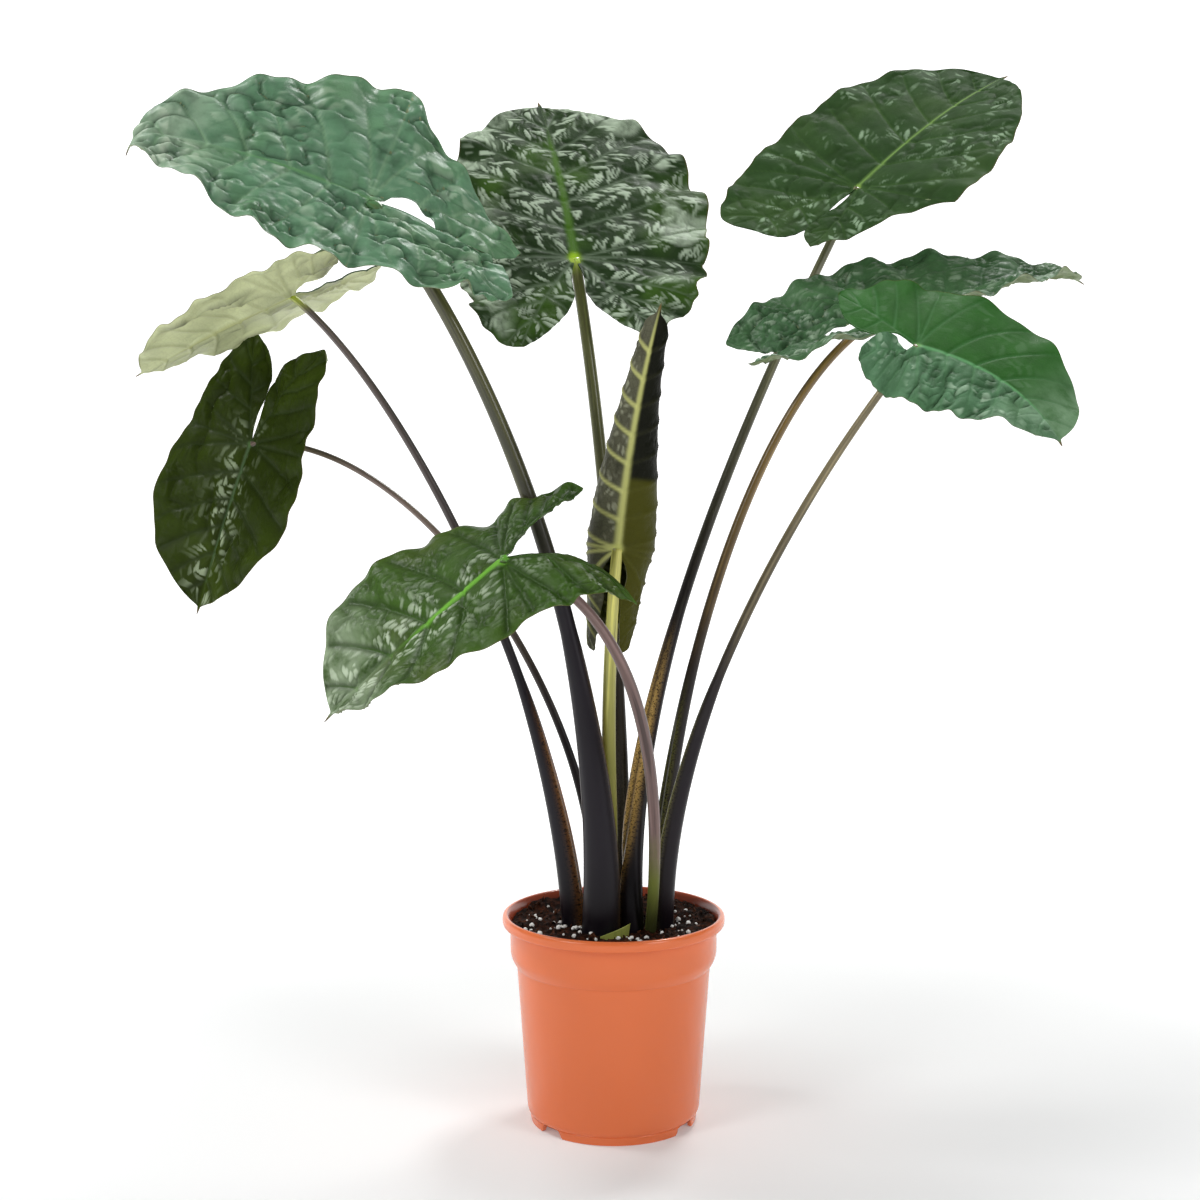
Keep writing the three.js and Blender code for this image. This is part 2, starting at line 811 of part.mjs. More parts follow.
// A trapezoid opening through the foot ring, and a round hole through the raised floor.
function notchGeometry(degrees) {
  const half = NOTCH_WIDTH / 2;
  const outline = new THREE.Shape();
  outline.moveTo(-half, -1);
  outline.lineTo(half, -1);
  outline.lineTo(half - NOTCH_TAPER, NOTCH_HEIGHT);
  outline.lineTo(NOTCH_TAPER - half, NOTCH_HEIGHT);
  outline.closePath();
  const notch = new THREE.ExtrudeGeometry(outline, { depth: NOTCH_DEPTH, bevelEnabled: false });
  notch.rotateX(Math.PI / 2);
  notch.translate(0, NOTCH_DEPTH / 2 - FOOT_RADIUS, 0);
  return notch.rotateZ(rad(degrees));
}

function drainGeometry(number) {
  const turn = (2 * Math.PI * (number + 0.5)) / DRAIN_COUNT;
  const hole = new THREE.CylinderGeometry(DRAIN_RADIUS, DRAIN_RADIUS, 3 * FLOOR_THICK, 12);
  hole.rotateX(Math.PI / 2);
  hole.translate(DRAIN_CIRCLE, 0, CHANNEL_TOP + FLOOR_THICK / 2);
  return hole.rotateZ(turn);
}

function potGeometry() {
  let pot = toSolid(turned(potProfile(), POT_SIDES));
  for (const degrees of NOTCH_ANGLES) pot = pot.subtract(toSolid(notchGeometry(degrees)));
  for (let i = 0; i < DRAIN_COUNT; i += 1) pot = pot.subtract(toSolid(drainGeometry(i)));
  return toGeometry(pot);
}

// Height of the soil: gentle bumps, and a heap against the right of the rim.
function soilHeight(x, y) {
  const bumps = Math.sin(x / BUMP_LENGTH[0] + 1) * Math.cos(y / BUMP_LENGTH[1]);
  const ripples = 0.6 * Math.sin(x / RIPPLE_LENGTH[0] - y / RIPPLE_LENGTH[1]);
  return SOIL_Z + SOIL_BUMP * (bumps + ripples) + SOIL_HEAP * smooth(x, ...HEAP_SPAN);
}

// The soil fills the pot's inside, with a plain hole for the crown and for every stalk.
function soilGeometry() {
  const inside = potInside().map(([radius, z]) => [radius - GAP, z + GAP]).reverse();
  const profile = [
    [0, FLOOR_THICK + GAP],
    [CHANNEL_INNER - 2 - GAP, FLOOR_THICK + GAP],
    [CHANNEL_INNER - GAP, CHANNEL_TOP + FLOOR_THICK + GAP],
    ...inside,
  ];
  const edge = COLLAR_RADIUS - WALL - GAP;
  for (let i = SOIL_RINGS; i >= 0; i -= 1) profile.push([(edge * i) / SOIL_RINGS, SOIL_Z]);
  const soil = turned(profile, POT_SIDES);
  const position = soil.getAttribute("position");
  for (let i = 0; i < position.count; i += 1) {
    if (position.getZ(i) > SOIL_Z - 1) {
      position.setZ(i, soilHeight(position.getX(i), position.getY(i)));
    }
  }
  let solid = toSolid(soil).subtract(toSolid(crownGeometry(HOLE_CLEARANCE)));
  for (const leaf of LEAVES) solid = solid.subtract(toSolid(stalkGeometry(leaf, HOLE_CLEARANCE)));
  solid = solid.subtract(toSolid(scaleGeometry(HOLE_CLEARANCE)));
  return toGeometry(solid);
}

// A flat-topped oval lump with a rounded underside.
function crownGeometry(grow = 0) {
  const low = CROWN_TOP - CROWN_DEPTH - grow;
  const high = CROWN_TOP + grow;
  const depth = high - low;
  const profile = [
    [0, low],
    [0.5, low + 0.06 * depth],
    [0.85, low + 0.3 * depth],
    [1, low + 0.65 * depth],
    [0.98, high - 0.1 * depth],
    [0.9, high],
    [0, high],
  ];
  const crown = turned(profile, 24);
  crown.scale(CROWN_HALF[0] + grow, CROWN_HALF[1] + grow, 1);
  return crown.translate(...CROWN_CENTRE, 0);
}

// A short upright scale, bent round the front of the stalks, with an arched top edge.
function scaleGeometry(grow = 0) {
  const [columns, rows] = [8, 4];
  const points = [];
  const normals = [];
  const grid = [];
  for (let i = 0; i <= rows; i += 1) {
    const row = [];
    for (let j = 0; j <= columns; j += 1) {
      const across = j / columns;
      const spread = THREE.MathUtils.radToDeg(grow / SCALE_RADIUS);
      const turn = rad(lerp(SCALE_ARC[0] - spread, SCALE_ARC[1] + spread, across));
      const top = SCALE_TOP - SCALE_ARCH * (2 * across - 1) ** 2;
      const out = new THREE.Vector3(Math.sin(turn), -Math.cos(turn), 0);
      const z = i ? lerp(SCALE_BOTTOM, top, i / rows) : SCALE_BOTTOM - grow;
      const lean = 1 + SCALE_LEAN * (i / rows) ** 2;
      const foot = new THREE.Vector3(...SCALE_CENTRE, z);
      row.push(points.push(foot.addScaledVector(out, SCALE_RADIUS * lean)) - 1);
      normals.push(out);
    }
    grid.push(row);
  }
  const half = points.map(() => SCALE_THICK / 2 + grow);
  return thicken(points, normals, cells(grid, false), half, half);
}

function piece(name, geometry, color, roughness) {
  const material = new THREE.MeshStandardMaterial({ color, roughness, metalness: 0 });
  material.name = name;
  const mesh = new THREE.Mesh(geometry, material);
  mesh.name = name;
  return mesh;
}

const plant = new THREE.Group();
plant.add(piece("pot", potGeometry(), "#cd6c4c", 0.35));
plant.add(piece("soil", soilGeometry(), "#2f2620", 1));
plant.add(piece("crown", crownGeometry(), "#6d5b45", 0.9));
plant.add(piece("basal_sheath", scaleGeometry(), "#a9ad5c", 0.5));
for (const leaf of LEAVES) {
  plant.add(piece(`blade_${leaf.name}`, bladeGeometry(leaf), leaf.color, 0.35));
  plant.add(piece(`petiole_${leaf.name}`, stalkGeometry(leaf), leaf.stalk.color, 0.45));
}

export default plant;
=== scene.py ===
"""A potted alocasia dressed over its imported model: nine quilted, veined blades on grooved
stalks, a scale at their foot, potting soil with perlite and bark, and a moulded plastic pot.

Shapes are worked out in millimetres with numpy and put into the meshes in metres.
"""

import bpy
import numpy as np
from bpy.props import FloatProperty, FloatVectorProperty, IntProperty, PointerProperty
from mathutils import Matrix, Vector


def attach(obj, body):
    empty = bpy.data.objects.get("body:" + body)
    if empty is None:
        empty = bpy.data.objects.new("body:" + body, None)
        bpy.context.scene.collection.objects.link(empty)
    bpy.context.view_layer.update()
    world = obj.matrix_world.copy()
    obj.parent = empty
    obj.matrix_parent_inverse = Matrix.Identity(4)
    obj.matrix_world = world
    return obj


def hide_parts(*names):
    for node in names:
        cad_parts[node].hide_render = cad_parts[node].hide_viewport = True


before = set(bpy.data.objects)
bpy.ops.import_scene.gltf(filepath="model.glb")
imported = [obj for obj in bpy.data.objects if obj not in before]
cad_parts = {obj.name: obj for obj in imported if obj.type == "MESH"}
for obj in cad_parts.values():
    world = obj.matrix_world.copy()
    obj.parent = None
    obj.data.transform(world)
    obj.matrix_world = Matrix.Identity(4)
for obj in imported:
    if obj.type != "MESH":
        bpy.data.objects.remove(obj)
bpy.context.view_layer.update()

bl_info = {
    "name": "Potted Alocasia",
    "version": (1, 0, 0),
    "blender": (4, 5, 0),
    "location": "3D View > Sidebar > Plant",
    "description": "Builds a potted alocasia with quilted arrow-shaped leaves around its frame",
    "category": "Add Mesh",
}

MM = 0.001

# Pot, in millimetres and degrees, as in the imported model.
RIM_RADIUS = 105
RIM_TOP = 199
RIM_BOTTOM = 189
COLLAR_RADIUS = 97.5
COLLAR_BOTTOM = 160
SHOULDER_RADIUS = 92
SHOULDER_Z = 151
BODY_LOW_RADIUS = 81.8
FOOT_RADIUS = 78.5
FOOT_BAND = 8
FOOT_RING_WIDTH = 3
WALL = 1.8
CHANNEL_TOP = 7
CHANNEL_INNER = 57
FLOOR_THICK = 3
NOTCH_ANGLES = (-138, -32, 42, 148)
NOTCH_WIDTH = 27
NOTCH_HEIGHT = 8
NOTCH_TAPER = 3
POT_COLUMNS = 288
ARC_STEPS = 5
ARC_REACH = 0.48
LIP_TILT = 0.02

# Soil. Patches of perlite have a centre, a spread along each axis and a number of grains.
GAP = 0.3
SOIL_Z = 186
SOIL_HEAP = 5
HEAP_SPAN = (35, 90)
SOIL_BANK = 6
BANK_SPAN = (45, 92)
BANK_LOSS = 0.8
SOIL_BUMP = 1.6
BUMP_LENGTH = (13, 11)
RIPPLE = 0.6
RIPPLE_LENGTH = (7, 9)
SOIL_COLUMNS = 256
SOIL_RINGS = 110
CLODS = ((14, 2.2), (6, 1.5), (2.6, 0.9))
CLOD_LEVEL = 0.6
CLOD_FOLD = 1.6
CLOD_SEED = 40
PERLITE_PATCHES = (((-44, -2), (17, 20), 34), ((57, 8), (10, 15), 20), ((18, -40), (20, 10), 8))
PERLITE_LOOSE = 64
PERLITE_SEED = 11
PERLITE_REACH = 88
GRAIN_REACH = 90
GRAIN_SPREAD = (0.5, 1.25)
GRAIN_STRETCH = (0.8, 1.15)
BARK_REACH = 92
BARK_SEED = 12
BARK_SIZES = ((1.2, 4.5), (0.8, 2.2), (0.4, 1.0))
LUMP_LIFT = 0.35
LEAST_SHARE = 0.02

# Crown and the scale in front of the stalks.
CROWN_CENTRE = (8, 0)
CROWN_TOP = 150
SCALE_CENTRE = (-8, -22)
SCALE_RADIUS = 24
SCALE_ARC = (-10, 60)
SCALE_BOTTOM = 172
SCALE_TOP = 198
SCALE_ARCH = 9
ARCH_POWER = 1.5
SCALE_LEAN = 0.12
SCALE_HALF = 0.7
SCALE_THIN_POWER = 4
SCALE_RIDGES = 40
SCALE_RIDGE = 0.25
SCALE_ROWS = 24
SCALE_COLUMNS = 40

# Stage, in millimetres, and its glow by the distance in metres from the plant.
FLOOR_BEND = 1500
FLOOR_BACK = 3200
FLOOR_REACH = 20000
WALL_TOP = 2700
BEND_STEPS = 24
GLOW_SPAN = (0.34, 1.7)
FAR_GLOW = 0.93

# Lamps and camera, in metres, watts and degrees: a lamp's place, aim, size and power. The
# sensor's width is in millimetres.
LAMPS = {
    "high_back": ((0.7, 1.25, 2.6), (0, 0, 0.8), (0.6, 0.6), 32),
    "high_left": ((-1.5, 0.1, 2.6), (0, 0, 0.7), (0.6, 0.6), 34),
    "left_front": ((-1.9, -1.7, 1.9), (0, 0, 0.5), (0.8, 1.4), 24),
    "right_front": ((1.8, -1.6, 1.6), (0, 0, 0.5), (0.8, 1.6), 22),
}
CAMERA_PLACE = (-0.0128, -1.906, 0.710)
CAMERA_TILT = 83.6
SENSOR_WIDTH = 36

# Outline of a blade. x is 1 at the tip, 0 at the joint and -1 at a lobe's end.
RIB_STEPS = 60
DROOP_POWER = 1.4
SWEEP_POWER = 1.2
HOOK_START = 0.8
MARGIN_END = 0.95
TIP_WIDTH = 0.05
TIP_SPAN = (0.6, 0.9)
TIP_TAPER = 0.1
SINUS_GAP = 0.1
SINUS_OPENING = 8
EYE_START = 0.04
EYE_END = 0.45
LIFT_SPAN = (0.25, 0.7)
WAVE_POWER = 2.5
WAVE_START = 0.15
WAVE_SHIFT = 0.4
FLUTTER = 0.35
FLUTTER_RATE = 2.3
UNEVEN_WAVES = (2.3, 3.7, 6.1)
UNEVEN_WIDTH = 40
UNEVEN_SEED = 3
BITE_POWER = 0.7
FORE_ROWS = 144
AFT_ROWS = 80
COLUMNS = 66
END_CROWD = 0.4

# Veins. A lean is how far a vein runs ahead for each millimetre that it runs aside, and a middle
# is where a curve's control point lies, as a share of the way along and aside.
VEIN_SPAN = 0.8
VEIN_LEAN = (0.35, 0.95)
VEIN_END = 0.98
VEIN_MIDDLE = (0.4, 0.58)
VEIN_POINTS = 15
VEIN_ROUNDS = 12
BACK_MIDDLE = 0.5
BACK_END = 0.97
FAN = (-0.02, -0.3)
FAN_MIDDLE = (0.4, 0.55)
BACK_FORKS = (0.3, 0.52, 0.74)
BACK_RUN = 0.2
INNER_FORKS = (0.45, 0.7)
INNER_RUN = 0.16
FORK_MIDDLE = (0.4, 0.6)
LANE_STEP = 400

# Relief of a blade. Lengths and widths are in millimetres, levels are shares of the height. The
# draws are seeded by the length of the leaf's name, with a shift for the folds and the patches.
BLADE_SEED = 10
FOLD_SHIFT = 5
PATCH_SHIFT = 9
VEIN_WIDTH = (1.6, 0.8)
VEIN_FADE = 0.6
RIB_NARROW = 0.6
RIB_LEAST = 0.3
RIB_END = 0.3
JOINT_RIM = 1.5
UNDER_RIM = 0.6
FULL_WIDTH = 20
MARGIN_FADE = 0.1
RIB_CLEAR = 2
VEIN_CLEAR = 3
GROOVE_CLEAR = 3
PUFF_LENGTH = 9
PUFF_LEVEL = 0.4
SEED_SHAKE = (0.1, 0.9)
SEAM_WIDTH = 0.7
SWAY = 3
SWAY_LENGTH = 9
CELL_HEIGHT = (0.2, 1.3)
CELL_LEVEL = 0.5
FOLD_DETAIL = 0.35
FOLD_LENGTH = 0.4
FOLD_WIDTH = 0.5
FOLD_POWER = 0.8
FOLD_LEVEL = 0.6
PATCH_LENGTH = 26
PATCH_SPAN = (-0.35, 0.35)
PATCH_HEIGHT = (0.35, 1.15)
# Painted shade, for the colour only: seams of the cells, folds, and valleys beside the veins.
LADDER = 0.7
LADDER_POWER = 1.5
SEAM_POWER = 1.6
VALLEY_WIDTH = 4
THIN_EDGE = 0.7
THIN_POWER = 8
UNDER_VEIN = 0.5
UNDER_DROP = 0.5
BLADE_FIELDS = ("flat", "half", "vein", "rib", "cell", "rise", "pale", "joint", "dry")

# Where a blade is dry, where it carries painted sheen at its tip and margins, and where the young
# blade's underside is paler towards its foot: spans of x along the rib, of s from the rib to the
# margin, of the broad noise, and of the distance in millimetres from a vein.
DRY_TIP = (0.955, 0.985)
DRY_MARGIN = (0.985, 1)
PALE_TIP = (0.5, 0.85)
PALE_FOOT = (-0.3, -0.27)
BRIM_ALONG = (0.45, 0.85)
BRIM_ASIDE = (0.5, 0.85)
BRIM_PATCH = (0.1, 0.35)
BRIM_VEIN = (0.5, 2.5)
BRIM_RISE = 0.9

# Stalks.
STALK_SIDES = 36
STALK_RINGS = 96
STALK_GROOVE = 0.4
GROOVE_POWER = 4
GROOVE_FADE = 120
SHEATH_POWER = 1.5
TOP_TINT = (0.97, 1.0)
FOOT_SPAN = (0.0, 0.16)
FOOT_COLOUR = "#0e0a10"
EDGE_TURN = 0.55
EDGE_WIDTH = 0.5

# What most leaves share. Pairs are for the left and right half, seen from above with the tip
# ahead, except for those of back_vein, cell, crumple_size and dash_cut. Lengths are in
# millimetres and angles in degrees; the others are counts, powers and shares.
# Some keys only set painted shade in creases and vein valleys, and painted glints and sheen.
PLAIN_LEAF = dict(
    lobe_end=(0.5, 0.5), lobe_power=(2, 2), lobe_round=(0.6, 0.6), tip_round=0.8, belly=(0, 0),
    lobe_fold=(0, 0), tip_fold=(0, 0), curl=(-8, -8), tip_curl=(0, 0), lobe_curl=(0, 0), droop=5,
    hook=0, sweep=0, lobe_droop=0, wave=6, waves=6, eye=(2, 2), lobe_lift=(0, 0), sinus_power=6,
    uneven=1.2, bites=((), ()),
    veins=6, back_vein=(0.3, 0.45), rib_width=1.6, rib_fade=0.6, rib_depth=1.8, quilt=(0.9, 0.9),
    rake=0.5, crease=(0.4, 0.4), valley=0.25, fine_under=False,
    dry="#6b5a38", under="#7f9068", under_vein="#5c6b41", under_pale="#93a27c", vein_show=0.3,
    under_show=(0.7, 0.7), gloss=0.85, under_gloss=(0, 0), bare=0.38, dashes=(1, 1),
    dash_cut=(0.4, 0.7), reach=1000, brim=0, pale_tip=0, pale_foot=(0, 0), wax=1, rough=0.38,
)


def plant_leaf(name, **own):
    """A leaf's values: its own, and the plain leaf's for the rest."""
    return PLAIN_LEAF | own | {"name": name}


LEAVES = (
    plant_leaf(
        "upper_left", joint=(-216, -60, 858), heading=189, pitch=23, roll=-45, length=230,
        lobe=(146, 142), width=(88, 142), lobe_end=(0.5, 0.12), lobe_power=(2, 0.9),
        lobe_round=(0.6, 1), fore_power=(1.6, 1.2), belly=(0.28, 0.04), fold=(6, 14),
        lobe_fold=(8, -6), curl=(-8, -12), droop=16, hook=75, sweep=12, lobe_droop=6, eye=(-5, 19),
        sinus_power=12, uneven=1.6,
        bites=(((-0.7, 0.05, 9), (-0.82, 0.04, 8), (-0.93, 0.04, 6)), ()),
        rib_width=1.4, rib_fade=0.35, puff=3.0, quilt=(1.8, 0.8), cell=(13, 30), rake=0.2,
        crumple=(6.2, 4.8), crumple_size=(26, 15), crease=(1, 1), valley=0.35,
        upper="#5f8a68", patch="#557d4e", glint="#b6c4ae", vein="#8db08a", rib="#5f8f5c",
        heart="#5f9058", vein_show=0.6, gloss=0.5, bare=0.45, dashes=(0.9, 0.6),
        dash_cut=(0.3, 0.6), pale_tip=1.0, rough=0.42,
        stalk=dict(
            base=(-12, -24), rise=(0, -16, 400), arrive=(-88, -20, 700), sheath_top=470,
            radius=(18, 7.8, 6), low="#1d1820", high="#4a4a2a", edge="#8a6a3c", top="#4d7a4c",
            turn=(0.45, 0.8),
        ),
    ),
    plant_leaf(
        "upright_middle", joint=(-37, 80, 815), heading=100.6, pitch=48, roll=0, length=240,
        lobe=(112, 100), width=(109, 130), lobe_end=(0.55, 0.45), lobe_power=(3, 1.3),
        fore_power=(3.4, 3.4), tip_round=0.6, belly=(0.05, 0.12), fold=(5, 5), curl=(-12, -12),
        droop=10, sweep=4, lobe_droop=5, eye=(5, 5), sinus_power=3, uneven=3.4,
        rib_width=4.6, rib_fade=0.55, rib_depth=2.4, puff=1.8, quilt=(1.2, 1.2), cell=(6, 17),
        rake=1.0, crumple=(1.4, 1.4), crumple_size=(18, 18), crease=(0.6, 0.6), valley=0.3,
        upper="#24391a", patch="#4d7420", glint="#abbca4", vein="#93a88c", rib="#3f6416",
        heart="#9cc42e", vein_show=0.35, bare=0.3, dash_cut=(0.28, 0.56), brim=1.0, wax=0.35,
        rough=0.46,
        stalk=dict(
            base=(8, 30), rise=(10, 52, 420), arrive=(-8, 66, 640), sheath_top=400,
            radius=(9, 6.5, 5.5), low="#2a241c", high="#5e6038", edge="#4c463a", top="#a8c83c",
        ),
    ),
    plant_leaf(
        "high_right", joint=(240, 150, 887), heading=36, pitch=37, roll=20, length=250,
        lobe=(125, 106), width=(115, 120), lobe_end=(0.55, 0.2), lobe_power=(2, 0.6),
        lobe_round=(0.6, 1), fore_power=(3.6, 2.2), belly=(0, 0.08), fold=(12, 12),
        lobe_fold=(0, -15), droop=17, sweep=-2, lobe_droop=-15, wave=2.5, lobe_lift=(0, 4),
        sinus_power=10,
        rib_fade=0.75, puff=2.4, quilt=(0.4, 0.4), cell=(7, 15), rake=0.9, crumple=(1.8, 1.8),
        crumple_size=(26, 22), valley=0.12,
        upper="#304a26", patch="#445c32", glint="#8aa384", vein="#54743f", rib="#6b8c46",
        heart="#86a84c", gloss=0.95, bare=0.46, wax=0.15, rough=0.62,
        stalk=dict(
            base=(17, -10), rise=(0, 20, 400), arrive=(142, 142, 690), sheath_top=480,
            radius=(12, 5.5, 4), low="#1c171d", high="#6a6850", edge="#d6ae68",
        ),
    ),
    plant_leaf(
        "back_right", joint=(248, 50, 756), heading=14, pitch=19, roll=30, length=232,
        lobe=(138, 140), width=(100, 78), lobe_end=(0.4, 0.25), fore_power=(1.4, 2.4), fold=(5, 34),
        droop=22, hook=25, wave=5, eye=(9, 9), lobe_lift=(0, 4), uneven=2.0,
        rib_width=2.0, puff=2.2, quilt=(2.2, 2.2), cell=(6, 14), crumple=(3.6, 3.6),
        crumple_size=(20, 16), crease=(0.9, 0.9),
        upper="#4a7048", patch="#34583a", glint="#9cb298", vein="#557f56", rib="#5c8a50",
        heart="#6a9a50", gloss=0.75, bare=0.44, dash_cut=(0.3, 0.6), pale_tip=0.3, wax=0.6,
        stalk=dict(
            base=(40, 24), rise=(48, 28, 400), arrive=(134, 45, 695), sheath_top=440,
            radius=(9, 5, 4), low="#201a1c", high="#7a6234", edge="#6c6c34",
        ),
    ),
    plant_leaf(
        "front_right", joint=(263, -100, 730), heading=-16, pitch=-15, roll=34, length=166,
        lobe=(85, 42), width=(88, 74), fore_power=(2.1, 2.4), belly=(0.05, 0.1), fold=(6, 3),
        curl=(-8, -12), droop=16, sweep=-52, lobe_droop=5, wave=4, waves=4, eye=(9, 9),
        lobe_lift=(0, 8), uneven=1.3,
        rib_width=1.8, puff=0.7, quilt=(0.2, 1.4), cell=(9, 24), crumple=(0.3, 2.6),
        crumple_size=(11, 34), crease=(0.05, 0.9), valley=0.2,
        upper="#2f6126", upper_right="#5a8260", patch="#3a6c34", glint="#9cb89c", vein="#5a8f5c",
        rib="#5c9560", heart="#72a45a", gloss=0.9, bare=0.42, dashes=(0.1, 1), pale_tip=0.8,
        wax=0.25, rough=0.6,
        stalk=dict(
            base=(45, -4), rise=(42, -12, 360), arrive=(160, -72, 600), sheath_top=430,
            radius=(12, 4.5, 3.3), low="#1e181e", high="#74694c", edge="#b0ac6c",
        ),
    ),
    plant_leaf(
        "back_left", joint=(-303, 50, 778), heading=160, pitch=-22, roll=13, length=186,
        lobe=(78, 80), width=(58, 78), fore_power=(4, 3), fold=(13, 13), tip_fold=(-6, 0), wave=3,
        waves=5, eye=(9, 9), sinus_power=2,
        rib_width=2.0, puff=1.2, quilt=(0.15, 0.1), cell=(6, 24), rake=0.8, crumple=(7.0, 4.0),
        crumple_size=(90, 22), crease=(1, 0.8), fine_under=True,
        upper="#47603a", patch="#4a6036", glint="#7f967a", vein="#5a6a40", rib="#6a8a30",
        heart="#b4c440", under="#cfd6a6", under_vein="#a3a870", under_show=(0.3, 0.3), gloss=0.2,
        stalk=dict(
            base=(-36, 6), rise=(-50, 12, 400), arrive=(-194, 30, 695), sheath_top=420,
            radius=(13, 4.6, 3.2), low="#1c1820", high="#544a46", edge="#c88c58", top="#b4c440",
        ),
    ),
    plant_leaf(
        "hanging_left", joint=(-357, 130, 636), heading=200, pitch=-70, roll=-40, length=176,
        lobe=(108, 108), width=(88, 70), lobe_end=(0.75, 0.5), lobe_power=(1.3, 1.3),
        fore_power=(2.4, 3.4), belly=(0.2, 0.25), fold=(20, 20), curl=(-10, -10), wave=2, waves=5,
        uneven=1.0,
        puff=2.5, cell=(7, 18), crumple=(4.5, 4.5), crumple_size=(60, 30), valley=0.5,
        upper="#2c3a08", patch="#3c4e0a", glint="#a9b898", vein="#3f5030", rib="#465c3c",
        heart="#4c6a3c", bare=0.34, dash_cut=(0.3, 0.55), reach=20, wax=0.3, rough=0.36,
        stalk=dict(
            base=(-14, 22), rise=(-12, 40, 400), arrive=(-195, 90, 655), sheath_top=340,
            radius=(6, 4, 2.8), low="#201a1e", high="#74645a", edge="#4a4040",
        ),
    ),
    plant_leaf(
        "front_low", joint=(-99, -130, 547), heading=173, pitch=-41, roll=-30, length=217,
        lobe=(124, 98), width=(84, 102), lobe_end=(1.1, 0.7), fore_power=(3, 3.4), belly=(0, 0.2),
        fold=(-12, -5), lobe_fold=(-15, 0), tip_fold=(35, 45), curl=(-5, -10), lobe_droop=56,
        wave=4, waves=5, sinus_power=1.2, uneven=1.5,
        veins=5, back_vein=(0.12, 0.25), rib_width=3.6, rib_fade=0.3, puff=5.0, quilt=(1.8, 1.8),
        cell=(6, 11), rake=0.6, crumple=(2.0, 2.0), crumple_size=(20, 18), crease=(0.6, 0.6),
        valley=1.0,
        upper="#3d5e1b", patch="#4c571b", glint="#c2d2b6", vein="#5c8f30", rib="#74b83c",
        heart="#7cc040", gloss=1.0, bare=0.35, dash_cut=(0.3, 0.58), reach=40, pale_tip=0.9,
        wax=0.65, rough=0.37,
        stalk=dict(
            base=(34, -22), rise=(52, -60, 400), arrive=(0, -110, 520), sheath_top=420,
            radius=(5.5, 5.5, 4), low="#6c7434", high="#6b5450", edge="#a0a850", top="#62a832",
            turn=(0.12, 0.3),
        ),
    ),
    plant_leaf(
        "young_rolled", joint=(3, -30, 547), heading=0, pitch=84, roll=-90, length=226,
        lobe=(100, 100), width=(100, 100), lobe_end=(0.12, 0.12), lobe_power=(3, 3),
        fore_power=(1.5, 1.5), fold=(0, 0), curl=(170, 215), tip_curl=(400, 440),
        lobe_curl=(110, 120), droop=0, sweep=9, lobe_droop=-14, wave=0, eye=(7, 7), sinus_power=0.7,
        uneven=2.0,
        veins=8, rib_width=3.3, rib_fade=0.8, rib_depth=3.0, puff=1.0, cell=(7, 9),
        crumple=(0.6, 0.6), crumple_size=(16, 16), fine_under=True,
        upper="#3c4012", patch="#4a4e16", glint="#94967f", vein="#a3a866", rib="#b4b868",
        heart="#b4b868", under="#0e1003", under_right="#5a5a48", under_vein="#c2c47a",
        under_pale="#48480c", vein_show=0.7, under_show=(0.02, 0.8), gloss=0.2,
        under_gloss=(0, 0.7), pale_foot=(0.9, 0), wax=0.25,
        stalk=dict(
            base=(2, 8), rise=(-8, 4, 330), arrive=(-6, -30, 450), sheath_top=300, radius=(6, 7, 5),
            low="#8c8a44", high="#b8b45e", edge="#9c9a50",
        ),
    ),
)


def linear(colour):
    """The linear values of a colour, given as them or as a hexadecimal screen code."""
    if not isinstance(colour, str):
        return colour
    screen = np.array([int(colour[i : i + 2], 16) for i in (1, 3, 5)]) / 255
    values = np.where(screen < 0.04045, screen / 12.92, ((screen + 0.055) / 1.055) ** 2.4)
    return tuple(float(v) for v in values)


def scaled(colour, share):
    """The linear values of a colour, each times a share."""
    return tuple(share * v for v in linear(colour))


def colour_property(name, text, code):
    """A colour setting whose default is a screen code."""
    return FloatVectorProperty(
        name=name, description=text, subtype="COLOR", size=3, min=0, max=1, default=linear(code)
    )


def length_property(name, text, millimetres):
    """A length setting, given in millimetres."""
    return FloatProperty(name=name, description=text, unit="LENGTH", min=0, default=millimetres * MM)


class PotSettings(bpy.types.PropertyGroup):
    """Size of the pot's wall and its finish, with painted shade on the inner wall."""

    wall: length_property("Wall", "Thickness of the pot's wall", WALL)
    colour: colour_property("Colour", "Colour of the moulded plastic", "#ec7742")
    # The inner wall is the same plastic, darkened as painted shade.
    inside: colour_property("Inside", "Colour of the inner wall", "#a8482a")


class SoilSettings(bpy.types.PropertyGroup):
    """What lies in the pot."""

    dark: colour_property("Damp peat", "Darkest colour of the soil", "#120703")
    light: colour_property("Dry peat", "Lightest colour of the soil", "#4a2412")
    bark: colour_property("Bark", "Colour of the bark chips", "#4c2814")
    perlite: colour_property("Perlite", "Colour of the perlite grains", "#f4f2ee")
    bark_count: IntProperty(name="Bark chips", description="Number of chips", min=0, default=420)
    grain: length_property("Perlite size", "Middle size of a perlite grain", 2.0)


class BladeSettings(bpy.types.PropertyGroup):
    """Relief of the blades, and the colour of each blade's upper face."""

    thickness: length_property("Thickness", "Thickness of a blade away from its margin", 0.9)
    groove: length_property("Vein groove", "How deep the veins are sunk in the upper face", 0.9)
    __annotations__ |= {
        leaf["name"]: colour_property(
            leaf["name"].replace("_", " ").capitalize(), "Upper face of this blade", leaf["upper"]
        )
        for leaf in LEAVES
    }


class StalkSettings(bpy.types.PropertyGroup):
    """Colours of the small parts at the stalks' foot."""

    scale: colour_property("Scale", "Colour of the scale at the foot", "#a3aa52")
    crown: colour_property("Rootstock", "Colour of the buried rootstock", "#6d5b45")


